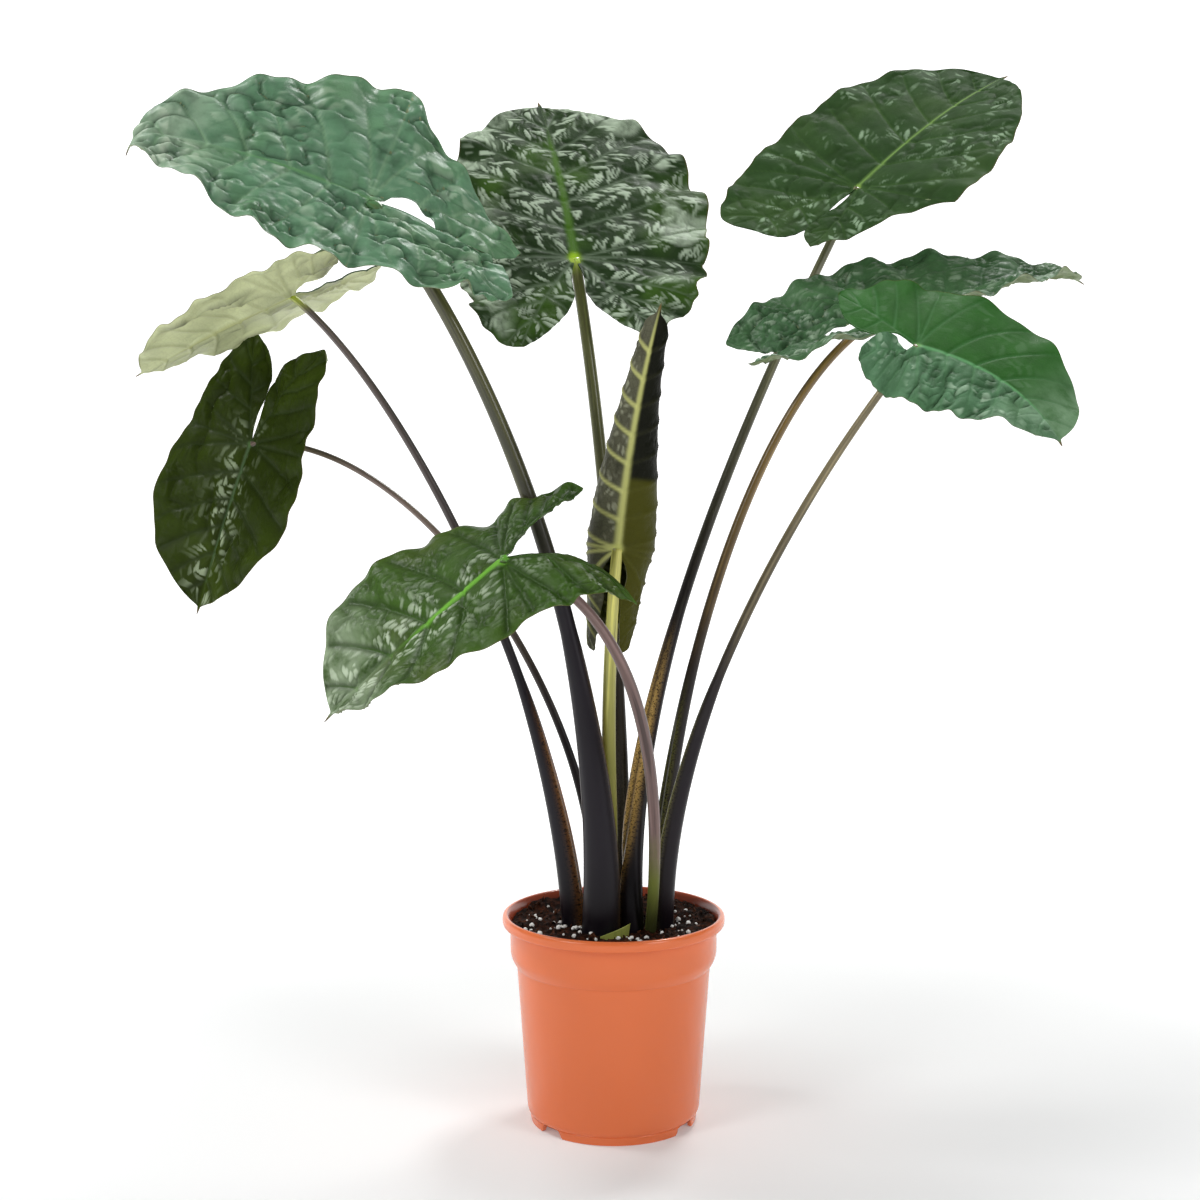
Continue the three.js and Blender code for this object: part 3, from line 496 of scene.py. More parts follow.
class StageSettings(bpy.types.PropertyGroup):
    """Floor, light and camera."""

    floor: colour_property("Floor", "Colour of the floor", "#dadbdb")
    glow: FloatProperty(name="Glow", description="Glow of the floor beside the plant", default=0.18)
    ambient: FloatProperty(name="Ambient", description="Strength of the light all round", default=0.15)
    lens: FloatProperty(name="Lens", description="Focal length", subtype="DISTANCE_CAMERA", default=61.9)


class PlantSettings(bpy.types.PropertyGroup):
    """All the settings of the potted plant."""

    pot: PointerProperty(type=PotSettings)
    soil: PointerProperty(type=SoilSettings)
    blades: PointerProperty(type=BladeSettings)
    stalks: PointerProperty(type=StalkSettings)
    stage: PointerProperty(type=StageSettings)


def clamp(values, low=0.0, high=1.0):
    """Values held between low and high."""
    return np.clip(values, low, high)


def smooth(values, low=0.0, high=1.0):
    """Eased step: 0 below low, 1 above high."""
    part = clamp((np.asarray(values, float) - low) / (high - low))
    return part * part * (3 - 2 * part)


def lerp(start, end, part):
    """Straight from start, where the part is 0, to end, where it is 1."""
    return start + (end - start) * part


def hump(values, width, power=2):
    """1 at 0, falling away on both sides over a width."""
    return np.exp(-((values / width) ** power))


def quadratic(start, middle, end, t):
    """Places on a quadratic curve, where t runs from 0 to 1."""
    return (1 - t) ** 2 * start + 2 * t * (1 - t) * middle + t**2 * end


def unit(vectors):
    """Vectors divided by their lengths."""
    return vectors / np.maximum(np.linalg.norm(vectors, axis=-1, keepdims=True), 1e-12)


def full_turn(columns):
    """Even turns round a whole circle, in radians."""
    return np.linspace(0, 2 * np.pi, columns, endpoint=False)


def around(radius, turn, z):
    """Points at a distance and a turn round the upright axis, and a height."""
    return np.stack(np.broadcast_arrays(radius * np.cos(turn), radius * np.sin(turn), z), axis=-1)


def lattice_noise(points, size, seed):
    """Smooth random values from -1 to 1: one drawn for each corner of a lattice of the given
    size, and eased between the eight corners round a point."""
    cells = 32
    table = np.random.default_rng(seed).uniform(-1, 1, (cells, cells, cells))
    place = np.asarray(points, float) / size
    low = np.floor(place).astype(int)
    ease = smooth(place - low)
    total = np.zeros(place.shape[:-1])
    for corner in np.ndindex(2, 2, 2):
        weight = np.prod(np.where(np.array(corner) == 1, ease, 1 - ease), axis=-1)
        x, y, z = np.moveaxis((low + np.array(corner)) % cells, -1, 0)
        total += weight * table[x, y, z]
    return total


def grid_faces(ids):
    """Four corner numbers for each cell of a grid of point numbers."""
    corners = (ids[:-1, :-1], ids[1:, :-1], ids[1:, 1:], ids[:-1, 1:])
    return np.stack(corners, axis=-1).reshape(-1, 4)


def turned_ids(rows, columns):
    """Point numbers of a turned grid, closed round, with a single point at either end."""
    ids = np.arange(rows * columns).reshape(rows, columns)
    ids[[0, -1]] = ids[[0, -1], :1]
    return np.concatenate([ids, ids[:, :1]], axis=1)


def facing_out(points, faces):
    """Faces turned over if their signed volume, the sum of (a x b) . c, is negative."""
    a, b, c, d = (points[faces[:, i]] for i in range(4))
    volume = np.sum(np.cross(a, b) * c) + np.sum(np.cross(a, c) * d)
    return faces if volume > 0 else faces[:, ::-1]


def add_piece(name, points, faces, finishes, which=None, attributes=None):
    """A mesh from points in millimetres and four-cornered faces. A face with two equal corners
    becomes a triangle, and unused points are dropped."""
    same = faces == np.roll(faces, -1, axis=1)
    which = np.zeros(len(faces), int) if which is None else which
    kept = same.sum(axis=1) < 2
    faces, same, which = faces[kept], same[kept], which[kept]
    used, number = np.unique(faces, return_inverse=True)
    faces = number.reshape(faces.shape)
    flat = faces[~same]
    start = np.concatenate([[0], np.cumsum((~same).sum(axis=1))[:-1]])
    mesh = bpy.data.meshes.new(name)
    mesh.vertices.add(len(used))
    mesh.vertices.foreach_set("co", (points[used] * MM).astype(np.float32).ravel())
    mesh.loops.add(len(flat))
    mesh.loops.foreach_set("vertex_index", flat.astype(np.int32))
    mesh.polygons.add(len(faces))
    mesh.polygons.foreach_set("loop_start", start.astype(np.int32))
    mesh.polygons.foreach_set("material_index", which.astype(np.int32))
    mesh.polygons.foreach_set("use_smooth", np.ones(len(faces), bool))
    for key, values in (attributes or {}).items():
        kind, field = ("FLOAT", "value") if values.ndim == 1 else ("FLOAT_VECTOR", "vector")
        layer = mesh.attributes.new(key, kind, "POINT")
        layer.data.foreach_set(field, values[used].astype(np.float32).ravel())
    mesh.update(calc_edges=True)
    mesh.validate()
    for finish_made in finishes:
        mesh.materials.append(finish_made)
    piece = bpy.data.objects.new(name, mesh)
    bpy.context.scene.collection.objects.link(piece)
    return piece


def stand_for(piece, node):
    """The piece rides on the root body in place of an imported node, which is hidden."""
    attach(piece, "root")
    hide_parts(node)


class Shade:
    """A value in a material's node tree. Sums, differences and products of values add Math
    nodes."""

    def __init__(self, tree, socket=None):
        self.tree = tree
        self.socket = socket

    def node(self, kind, settings=None, inputs=None, output=0):
        """A node of a type: its settings are set first, then its sockets' values or links."""
        made = self.tree.nodes.new(kind)
        for key, value in (settings or {}).items():
            setattr(made, key, value)
        for key, value in (inputs or {}).items():
            if isinstance(value, Shade):
                self.tree.links.new(value.socket, made.inputs[key])
            else:
                made.inputs[key].default_value = value
        return Shade(self.tree, made.outputs[output] if made.outputs else None)

    def math(self, operation, *values):
        return self.node("ShaderNodeMath", {"operation": operation}, dict(enumerate(values)))

    def __add__(self, other):
        return self.math("ADD", self, other)

    def __sub__(self, other):
        return self.math("SUBTRACT", self, other)

    def __rsub__(self, other):
        return self.math("SUBTRACT", other, self)

    def __mul__(self, other):
        return self.math("MULTIPLY", self, other)

    __radd__ = __add__
    __rmul__ = __mul__

    def step(self, low, high):
        """Eased from 0 at low to 1 at high."""
        settings = {"interpolation_type": "SMOOTHSTEP"}
        return self.node("ShaderNodeMapRange", settings, {0: self, 1: low, 2: high})

    def field(self, name, output="Fac"):
        """One of the piece's own attributes."""
        return self.node("ShaderNodeAttribute", {"attribute_name": name}, output=output)

    def sides(self, left, right):
        """A blade's left half's value and its right half's."""
        return self.field("half") * (right - left) + left

    def place(self):
        return self.node("ShaderNodeTexCoord", output="Object")

    def noise(self, vector, scale, detail=3.0, roughness=0.55):
        inputs = {"Vector": vector, "Scale": scale, "Detail": detail, "Roughness": roughness}
        return self.node("ShaderNodeTexNoise", None, inputs)

    def cracks(self, vector, scale):
        """Distance to the edges of a pattern of cells."""
        settings = {"feature": "DISTANCE_TO_EDGE"}
        return self.node("ShaderNodeTexVoronoi", settings, {"Vector": vector, "Scale": scale})

    def blend(self, share, start, end):
        """From one colour to another."""
        ends = (v if isinstance(v, Shade) else (*linear(v)[:3], 1) for v in (start, end))
        inputs = dict(zip((0, 6, 7), (share, *ends)))
        return self.node("ShaderNodeMix", {"data_type": "RGBA"}, inputs, 2)

    def layers(self, body, *coats):
        """A colour with others laid over it, each by its own share."""
        for share, colour in coats:
            body = self.blend(share, body, colour)
        return body

    def stretch(self, vector, scale):
        settings = {"operation": "MULTIPLY"}
        return self.node("ShaderNodeVectorMath", settings, {0: vector, 1: scale})

    def bump(self, height, strength, distance):
        inputs = {"Height": height, "Strength": strength, "Distance": distance}
        return self.node("ShaderNodeBump", None, inputs)


def finish(name, build):
    """A material whose surface takes the sockets that build(shade) returns."""
    material = bpy.data.materials.new(name)
    material.use_nodes = True
    tree = material.node_tree
    tree.nodes.clear()
    shade = Shade(tree)
    surface = shade.node("ShaderNodeBsdfPrincipled", None, build(shade))
    shade.node("ShaderNodeOutputMaterial", None, {"Surface": surface})
    return material


def upper_face(leaf, colour):
    """Waxy upper face: its colour drifts in broad patches, is paler along the veins and is finely
    netted. Painted glints lie on the raised cells and painted sheen near the tip and margins, and
    painted shade darkens the seams, the folds and the valleys beside the veins."""

    def build(shade):
        flat = shade.field("flat", "Vector")
        half, vein, rib, cell, rise, pale, joint, dry = map(shade.field, BLADE_FIELDS[1:])
        mottle = shade.noise(flat, 34, detail=5, roughness=0.6)
        patch = shade.noise(flat, 11, detail=2)
        glints = shade.noise(flat, 17, detail=3).step(leaf["bare"], leaf["bare"] + 0.17)
        body = shade.layers(
            shade.blend(half, colour, leaf.get("upper_right", leaf["upper"])),
            ((1 - mottle.step(0.3, 0.7)) * 0.4, scaled(colour, 0.4)),
            (patch.step(0.45, 0.68) * 0.45, leaf["patch"]),
            # Painted highlight: glints on the raised cells, and painted sheen near the tip and margins.
            (rise * glints * leaf["gloss"], leaf["glint"]),
            (pale * mottle.step(0.25, 0.6), leaf["glint"]),
            # Painted shade in the seams, the folds and the valleys beside the veins.
            ((1 - cell) * 0.75, scaled(colour, 0.25)),
            (vein * leaf["vein_show"], leaf["vein"]),
            (rib, leaf["rib"]),
            (joint, leaf["heart"]),
            (dry, leaf["dry"]),
        )
        net = shade.cracks(flat, 300).step(0, 0.12)
        grain = shade.noise(flat, 420, detail=3)
        wrinkle = shade.noise(flat, 150, detail=3, roughness=0.6)
        return {
            "Base Color": body,
            "Roughness": mottle * 0.14 + leaf["rough"],
            "Coat Weight": 0.05 * leaf["wax"],
            "Coat Roughness": 0.2,
            "Specular IOR Level": 0.28 * leaf["wax"],
            "Normal": shade.bump(net * 0.25 + grain * 0.2 + wrinkle, strength=0.35, distance=0.0006),
        }

    return finish(f"{leaf['name']} upper face", build)


def under_face(leaf):
    """Dull underside with raised veins and a fine net. Painted shade darkens its seams and folds,
    and painted sheen, painted glints and the young blade's paler foot lie where a leaf sets them.
    """

    def build(shade):
        flat = shade.field("flat", "Vector")
        half, vein, rib, cell, rise, pale, joint, dry = map(shade.field, BLADE_FIELDS[1:])
        under = leaf["under"]
        mottle = shade.noise(flat, 26, detail=4)
        net = shade.cracks(flat, 200)
        body = shade.layers(
            shade.blend(half, under, leaf.get("under_right", under)),
            ((1 - mottle.step(0.3, 0.7)) * 0.35, scaled(under, 0.5)),
            ((1 - net.step(0, 0.1)) * 0.2, scaled(under, 0.6)),
            # Painted shade in the seams and folds.
            ((1 - cell) * 0.95, scaled(under, 0.28)),
            # Painted sheen near the tip, the young blade's own paler foot, and painted glints on raised
            # cells.
            (pale * 0.9, leaf["under_pale"]),
            (rise * shade.sides(*leaf["under_gloss"]) * mottle.step(0.4, 0.55), leaf["glint"]),
            (vein * shade.sides(*leaf["under_show"]), leaf["under_vein"]),
            (rib * 0.8, leaf["under_vein"]),
            (joint, leaf["heart"]),
            (dry, leaf["dry"]),
        )
        return {
            "Base Color": body,
            "Roughness": mottle * 0.15 + 0.42,
            "Specular IOR Level": 0.35 * leaf["wax"],
            "Normal": shade.bump(net.step(0, 0.12), strength=0.3, distance=0.0005),
        }

    return finish(f"{leaf['name']} underside", build)


def leaf_frame(leaf):
    """Ahead to the tip, left, and up out of the upper face, at the joint."""
    heading, pitch, roll = np.radians([leaf["heading"], leaf["pitch"], leaf["roll"]])
    ahead = around(np.cos(pitch), heading, np.sin(pitch))
    level = unit(np.cross([0, 0, 1], ahead))
    over = np.cross(ahead, level)
    left = level * np.cos(roll) + over * np.sin(roll)
    up = over * np.cos(roll) - level * np.sin(roll)
    return ahead, left, up


def rib_branch(leaf, sense):
    """Places, left and up directions along the rib from the joint outwards: the direction is
    turned down by the droop and aside by the sweep, and the places are its running sum."""
    ahead, left, up = leaf_frame(leaf)
    x = np.linspace(0, 1, RIB_STEPS + 1)[:, None]
    if sense > 0:
        length = leaf["length"]
        down = np.radians(leaf["droop"]) * x**DROOP_POWER
        down = down + np.radians(leaf["hook"]) * smooth(x, HOOK_START, 1)
        aside = np.radians(leaf["sweep"]) * x**SWEEP_POWER
    else:
        length = max(leaf["lobe"])
        down = np.radians(leaf["lobe_droop"]) * x**SWEEP_POWER
        aside = 0 * x
    out = sense * ahead
    bent = out * np.cos(down) - up * np.sin(down)
    over = up * np.cos(down) + out * np.sin(down)
    along = bent * np.cos(aside) + left * np.sin(aside)
    across = left * np.cos(aside) - bent * np.sin(aside)
    steps = (along[1:] + along[:-1]) * length / RIB_STEPS / 2
    places = np.array(leaf["joint"]) + np.concatenate([np.zeros((1, 3)), np.cumsum(steps, axis=0)])
    return places, across, over


def on_rib(leaf, x):
    """Place, left and up on the rib: x is 1 at the tip, 0 at the joint, -1 at the longer lobe's
    end."""
    marks = np.linspace(0, 1, RIB_STEPS + 1)
    found = []
    for ahead, behind in zip(rib_branch(leaf, 1), rib_branch(leaf, -1)):
        parts = [
            np.where(x >= 0, np.interp(x, marks, ahead[:, i]), np.interp(-x, marks, behind[:, i]))
            for i in range(3)
        ]
        found.append(np.stack(parts, axis=-1))
    return found


def half_widths(leaf, x, side):
    """Distance from the rib to the inner and outer edge of one half. Ahead of the joint the
    outer edge is (1 - x^power)^round with a drawn-out point; behind it the lobe narrows to its
    end round the sinus. Three sine waves make the outer edge uneven, and bites are cut in it."""
    fore, aft = clamp(x), clamp(-x)
    width, end = leaf["width"][side], leaf["lobe_end"][side]
    full = (1 - np.minimum(fore / MARGIN_END, 1) ** leaf["fore_power"][side]) ** leaf["tip_round"]
    point = TIP_WIDTH * smooth(fore, *TIP_SPAN) * clamp((1 - fore) / TIP_TAPER)
    swell = 1 + leaf["belly"][side] * np.sin(np.pi * fore)
    rounding = (1 - aft ** leaf["lobe_power"][side]) ** leaf["lobe_round"][side]
    ratio = np.where(x >= 0, (full + point) * swell, end + (1 - end) * rounding)
    hole = np.sin(np.pi * clamp((aft - EYE_START) / (EYE_END - EYE_START)))
    parted = leaf["eye"][side] * hole + SINUS_GAP * clamp(SINUS_OPENING * aft)
    inner = np.where(x >= 0, 0, parted + end * width * aft ** leaf["sinus_power"])
    outer = width * ratio
    draw = np.random.default_rng(UNEVEN_SEED * len(leaf["name"]) + side)
    for waves in UNEVEN_WAVES:
        swing = np.sin(2 * np.pi * (waves * x + draw.uniform()))
        outer = outer + leaf["uneven"] * swing * clamp((outer - inner) / UNEVEN_WIDTH) / waves**0.5
    for place, half, depth in leaf["bites"][side]:
        outer = outer - depth * clamp(1 - np.abs(x - place) / half) ** BITE_POWER
    return inner, np.maximum(outer, inner)


def blade_surface(leaf, x, s, side, relief):
    """Points of half a blade. On the flat a point lies b = lerp(inner, outer, s) from the rib.
    The half is then folded up from the rib and curled: at distance b it has turned by
    fold + bend b, so that it reaches (sin(fold + bend b) - sin fold) / bend aside and
    (cos fold - cos(fold + bend b)) / bend up. The margin's wave and the relief stand along its
    normal."""
    fore, aft = clamp(x), clamp(-x)
    inner, outer = half_widths(leaf, x, side)
    b = lerp(inner, outer, s)
    fold = leaf["fold"][side] + leaf["lobe_fold"][side] * aft + leaf["tip_fold"][side] * fore
    curl = leaf["curl"][side] + leaf["tip_curl"][side] * fore**2 + leaf["lobe_curl"][side] * aft
    fold, bend = np.radians(fold), np.radians(curl) / leaf["width"][side]
    angle = fold + bend * b
    length, lobe = leaf["length"], leaf["lobe"][side]
    run = (length - np.where(x >= 0, length, lobe) * x) / (length + lobe)
    turn = 2 * np.pi * (leaf["waves"] * run + side * WAVE_SHIFT)
    sway = np.sin(turn) + FLUTTER * np.sin(FLUTTER_RATE * turn + 1 + side) * smooth(s, 0.5, 1)
    ripple = leaf["wave"] * s**WAVE_POWER * smooth(run, 0, WAVE_START) * sway + relief
    lift = leaf["lobe_lift"][side] * smooth(aft, *LIFT_SPAN) * (1 - s)
    across = (np.sin(angle) - np.sin(fold)) / bend - ripple * np.sin(angle)
    height = (np.cos(fold) - np.cos(angle)) / bend + ripple * np.cos(angle) + lift
    at, left, up = on_rib(leaf, np.where(x < 0, x * lobe / max(leaf["lobe"]), x))
    across = -across if side else across
    return at + left * across[..., None] + up * height[..., None]


def vein_curves(leaf, side):
    """The main veins of half a blade on the flat, each a quadratic curve of (along, across)
    points: side veins that leave the rib and run ahead to the margin, a back rib that runs
    down the lobe, a fan beside it, and side veins of the back rib to the lobe's two margins."""
    length, lobe = leaf["length"], leaf["lobe"][side]

    def flat(x, s):
        """A place on the flat: x along the rib, and s of the way from inner to outer edge."""
        inner, outer = half_widths(leaf, x, side)
        return np.stack([np.where(x >= 0, x * length, x * lobe), lerp(inner, outer, s)], axis=-1)

    root = np.linspace(0, VEIN_SPAN, leaf["veins"])
    lean = lerp(*VEIN_LEAN, root / VEIN_SPAN)
    reach = root
    for _ in range(VEIN_ROUNDS):
        aside = half_widths(leaf, reach, side)[1]
        reach = lerp(reach, np.minimum(root + lean * aside / length, VEIN_END), 0.5)
    starts, ends = flat(root, 0 * root), flat(reach, 1 + 0 * root)
    middles = lerp(starts, ends, np.array(VEIN_MIDDLE))
    back_end = flat(np.array(-BACK_END), leaf["back_vein"][1])
    back_middle = 2 * flat(np.array(-BACK_MIDDLE), leaf["back_vein"][0]) - back_end / 2
    back = (np.zeros(2), back_middle, back_end)
    fan_ends = flat(np.array(FAN), np.ones(len(FAN)))
    curves = [(starts, middles, ends), (0 * fan_ends, fan_ends * np.array(FAN_MIDDLE), fan_ends)]
    curves.append([point[None] for point in back])
    for places, run, s in ((BACK_FORKS, BACK_RUN, 1.0), (INNER_FORKS, INNER_RUN, 0.0)):
        t = np.array(places)
        forks = quadratic(*back, t[:, None])
        edge = flat(-np.minimum(t + run, BACK_END), s + 0 * t)
        curves.append((forks, lerp(forks, edge, np.array(FORK_MIDDLE)), edge))
    starts, middles, ends = (np.concatenate(parts)[:, None] for parts in zip(*curves))
    return quadratic(starts, middles, ends, np.linspace(0, 1, VEIN_POINTS)[None, :, None])


def nearest_vein(points, curves):
    """Distance from each flat point to the nearest curve, the share of that curve's run to the
    nearest place, and the point's place in the curve's own lane: how far along it and how far
    aside. The nearest place is the least distance over all straight segments."""
    tail = curves[:, :-1].reshape(-1, 2)
    step = (curves[:, 1:] - curves[:, :-1]).reshape(-1, 2)
    steps = curves.shape[1] - 1
    span = np.linalg.norm(step, axis=-1)
    before = np.cumsum(span.reshape(-1, steps), axis=1).ravel() - span
    away = points[:, None] - tail
    part = clamp(np.sum(away * step, axis=-1) / np.maximum(np.sum(step**2, axis=-1), 1e-9))
    distance = np.linalg.norm(away - part[..., None] * step, axis=-1)
    best = np.argmin(distance, axis=1)
    rows = np.arange(len(points))
    near, part = distance[rows, best], part[rows, best]
    ahead, away = step[best], away[rows, best]
    sense = np.sign(ahead[:, 0] * away[:, 1] - ahead[:, 1] * away[:, 0])
    aside = LANE_STEP * (best // steps) + sense * near
    lane = np.stack([before[best] + part * span[best], aside], axis=-1)
    return near, (best % steps + part) / steps, lane


def cell_pattern(points, size, seed):
    """Uneven cells: one seed is shaken about in each square of a lattice. Returns how far a
    point is inside its cell, from the distances to the nearest and second nearest seed, 0 on a
    seam and rounded off to 1, and a random share for the cell."""
    squares = 64
    table = np.random.default_rng(seed).uniform(0, 1, (squares, squares, 3))
    place = points / np.array(size)
    home = np.floor(place).astype(int)
    near, share = [], []
    for shift in np.ndindex(3, 3):
        square = home + np.array(shift) - 1
        drawn = table[square[:, 0] % squares, square[:, 1] % squares]
        near.append(np.linalg.norm(square + lerp(*SEED_SHAKE, drawn[:, :2]) - place, axis=-1))
        share.append(drawn[:, 2])
    near, share = np.stack(near), np.stack(share)
    order = np.argsort(near, axis=0)[:2]
    first, second = np.take_along_axis(near, order, axis=0)
    inside = clamp((second - first) / SEAM_WIDTH)
    return inside * (2 - inside), np.take_along_axis(share, order[:1], axis=0)[0]


def folds(points, size, seed):
    """Wandering creases: 0 along the lines where a smooth noise changes its sign, and swelling
    to 1 between them."""
    place = points / np.array([*size, 1])
    value = lattice_noise(place, 1, seed)
    value = value + FOLD_DETAIL * lattice_noise(place, FOLD_LENGTH, seed + 1)
    return clamp(np.abs(value) / FOLD_WIDTH) ** FOLD_POWER


def blade_half(leaf, side, settings):
    """One half of a blade as a grid of points, with its flat places and masks. Between its
    veins the blade is puffed up, quilted in a ladder of cells along each vein, and crumpled;
    the quilt and the creases come and go in broad patches. The masks hold painted shade for the
    seams, folds and vein valleys, and painted glints and sheen for the raised cells, tip and margins."""
    t = np.linspace(1, 0, FORE_ROWS + 1)
    fore = lerp(t, np.sin(np.pi / 2 * t), END_CROWD)
    t = np.linspace(0, 1, AFT_ROWS + 1)[1:]
    aft = -lerp(t, np.sin(np.pi / 2 * t), END_CROWD)
    x, s = np.meshgrid(np.concatenate([fore, aft]), np.linspace(0, 1, COLUMNS + 1), indexing="ij")
    inner, outer = half_widths(leaf, x, side)
    b = lerp(inner, outer, s)
    a = x * np.where(x >= 0, leaf["length"], leaf["lobe"][side])
    flat = np.stack([a, b], axis=-1).reshape(-1, 2)
    seed = BLADE_SEED * len(leaf["name"]) + side
    distance, share, lane = nearest_vein(flat, vein_curves(leaf, side))
    place = np.column_stack([flat, np.zeros(len(flat))])
    lane[:, 0] += SWAY * lattice_noise(place, SWAY_LENGTH, seed) - leaf["rake"] * distance
    inside, height = cell_pattern(lane, leaf["cell"], seed)
    swell = folds(place, leaf["crumple_size"], seed + FOLD_SHIFT)
    broad = lattice_noise(place, PATCH_LENGTH, seed + PATCH_SHIFT)
    grids = (distance, share, inside, height, swell, broad)
    distance, share, inside, height, swell, broad = (grid.reshape(x.shape) for grid in grids)
    from_rib = np.where(x >= 0, b, np.hypot(a, b))
    near = np.minimum(distance, from_rib)
    rib_width = leaf["rib_width"]
    vein = hump(distance, lerp(*VEIN_WIDTH, share)) * (1 - VEIN_FADE * share)
    rib = hump(b, rib_width * clamp(1 - x) ** RIB_NARROW + RIB_LEAST, 3) * (x >= 0)
    rib = rib * (1 - smooth(x, leaf["rib_fade"], leaf["rib_fade"] + RIB_END))
    under_rib = hump(b, rib_width + UNDER_RIM) * (x >= 0) * np.sqrt(clamp(1 - x))
    fade = clamp((outer - inner) / FULL_WIDTH) * smooth(1 - s, 0, MARGIN_FADE)
    fade = fade * smooth(b, 0, rib_width + RIB_CLEAR)
    clear = 1 - hump(near, VEIN_CLEAR)
    patchy = lerp(*PATCH_HEIGHT, smooth(broad, *PATCH_SPAN))
    cells = inside * lerp(*CELL_HEIGHT, height) - CELL_LEVEL
    relief = leaf["puff"] * (PUFF_LEVEL - np.exp(-near / PUFF_LENGTH))
    relief += leaf["quilt"][side] * cells * clear * patchy
    relief += leaf["crumple"][side] * (swell - FOLD_LEVEL) * patchy
    relief = relief * fade - settings.groove / MM * vein * smooth(outer - b, 0, GROOVE_CLEAR)
    points = blade_surface(leaf, x, s, side, relief)
    # Painted glints on the raised cells, held near the rib by the leaf's reach.
    rise = smooth(inside * height, *leaf["dash_cut"]) * fade * clear * leaf["dashes"][side]
    rise = rise * hump(from_rib, leaf["reach"])
    # Painted sheen in patches near the margin and at the tip.
    upwards = broad + BRIM_RISE * smooth(x, *BRIM_ALONG)
    brim = smooth(s, *BRIM_ASIDE) * smooth(upwards, *BRIM_PATCH) * smooth(near, *BRIM_VEIN)
    tip = smooth(x, *PALE_TIP) * lerp(0.5, 1, rise)
    pale = np.maximum(leaf["brim"] * brim, leaf["pale_tip"] * tip)
    # Painted shade: the cells' seams, the folds and the valleys beside the veins.
    ladder = (1 - inside) ** LADDER_POWER * clear * LADDER * min(leaf["quilt"][side], 1)
    seam = np.maximum(ladder, (1 - swell) ** SEAM_POWER) * leaf["crease"][side] * clamp(patchy)
    valley = leaf["valley"] * hump(near, VALLEY_WIDTH)
    masks = {
        "vein": vein,
        "rib": rib,
        "half": np.full(x.shape, float(side)),
        "cell": 1 - fade * np.maximum(seam, valley),
        "rise": rise,
        "pale": np.maximum(pale, leaf["pale_foot"][side] * smooth(-x, *PALE_FOOT)),
        "joint": hump(np.hypot(a, b), rib_width + JOINT_RIM, 3),
        "dry": np.maximum(smooth(x, *DRY_TIP), 0.5 * smooth(s, *DRY_MARGIN)),
        "under_rib": under_rib,
        "edge": s,
        "deep": fade,
    }
    apart = np.full(len(flat), float(LANE_STEP * side))
    return {
        "points": points.reshape(-1, 3),
        "flat": np.column_stack([flat, apart]) * MM,
        **{key: mask.ravel() for key, mask in masks.items()},
    }


def point_normals(points, faces):
    """Unit sums of the face normals round each point."""
    a, b, c, d = (points[faces[:, i]] for i in range(4))
    face = np.cross(c - a, d - b)
    total = np.zeros_like(points)
    for i in range(4):
        np.add.at(total, faces[:, i], face)
    return unit(total)


def blade_piece(leaf, settings):
    """A blade: two halves that share the rib ahead of the joint, given thickness along the
    normal, with the midrib standing out below. The face that is seen less keeps every second
    row and column, and strips of one four-cornered and one three-cornered face close the
    margins."""
    halves = [blade_half(leaf, side, settings) for side in (0, 1)]
    rows, columns = FORE_ROWS + AFT_ROWS + 1, COLUMNS + 1
    ids = np.arange(2 * rows * columns).reshape(2, rows, columns)
    ids[:, 0, :] = ids[0, 0, 0]
    ids[1, : FORE_ROWS + 1, 0] = ids[0, : FORE_ROWS + 1, 0]
    ids[:, -1, :] = ids[:, -1, -1:]
    fields = {key: np.concatenate([half[key] for half in halves]) for key in halves[0]}
    points = fields["points"]

    def both_halves(ids):
        """Faces of the left half and the right half, which all face up."""
        return np.concatenate([grid_faces(ids[0])[:, ::-1], grid_faces(ids[1])])

    normals = point_normals(points, both_halves(ids))
    half = settings.thickness / MM / 2 * (1 - THIN_EDGE * fields["edge"] ** THIN_POWER)
    ridge = leaf["rib_depth"] * fields["under_rib"] + UNDER_VEIN * fields["vein"]
    top = points + normals * half[:, None]
    bottom = points - normals * (half + ridge + UNDER_DROP * fields["deep"])[:, None]
    under = leaf["fine_under"]
    fine, coarse = (len(points), 0) if under else (0, len(points))
    strips = []
    for side in (0, 1):
        for line, flip in ((ids[side, :, -1], side == 0), (ids[side, FORE_ROWS:, 0], side == 1)):
            first, middle, last = line[:-2:2], line[1:-1:2], line[2::2]
            fours = np.stack([first + fine, middle + fine, last + coarse, first + coarse], axis=-1)
            threes = np.stack([middle + fine, last + fine, last + coarse, last + coarse], axis=-1)
            strip = np.concatenate([fours, threes])
            strips.append(strip if flip != under else strip[:, ::-1])
    strips = np.concatenate(strips)
    full, thin = both_halves(ids) + fine, both_halves(ids[:, ::2, ::2]) + coarse
    above, below = (thin, full[:, ::-1]) if under else (full, thin[:, ::-1])
    which = np.repeat([0, 0, 1], [len(above), len(strips), len(below)])
    attributes = {key: np.concatenate([fields[key]] * 2) for key in BLADE_FIELDS}
    finishes = (upper_face(leaf, getattr(settings, leaf["name"])), under_face(leaf))
    both = np.concatenate([top, bottom])
    faces = np.concatenate([above, strips, below])
    piece = add_piece(f"leaf_{leaf['name']}", both, faces, finishes, which, attributes)
    stand_for(piece, f"blade_{leaf['name']}")


def stalk_radius(stalk, z, top):
    """Radius at a height: wide in the sheath at the base, slim above it."""
    low, middle, high = stalk["radius"]
    sheath = stalk["sheath_top"]
    span = clamp((z - SOIL_Z) / (sheath - SOIL_Z))
    above = clamp((z - sheath) / (top - sheath))
    return np.where(z < sheath, lerp(low, middle, span**SHEATH_POWER), lerp(middle, high, above))


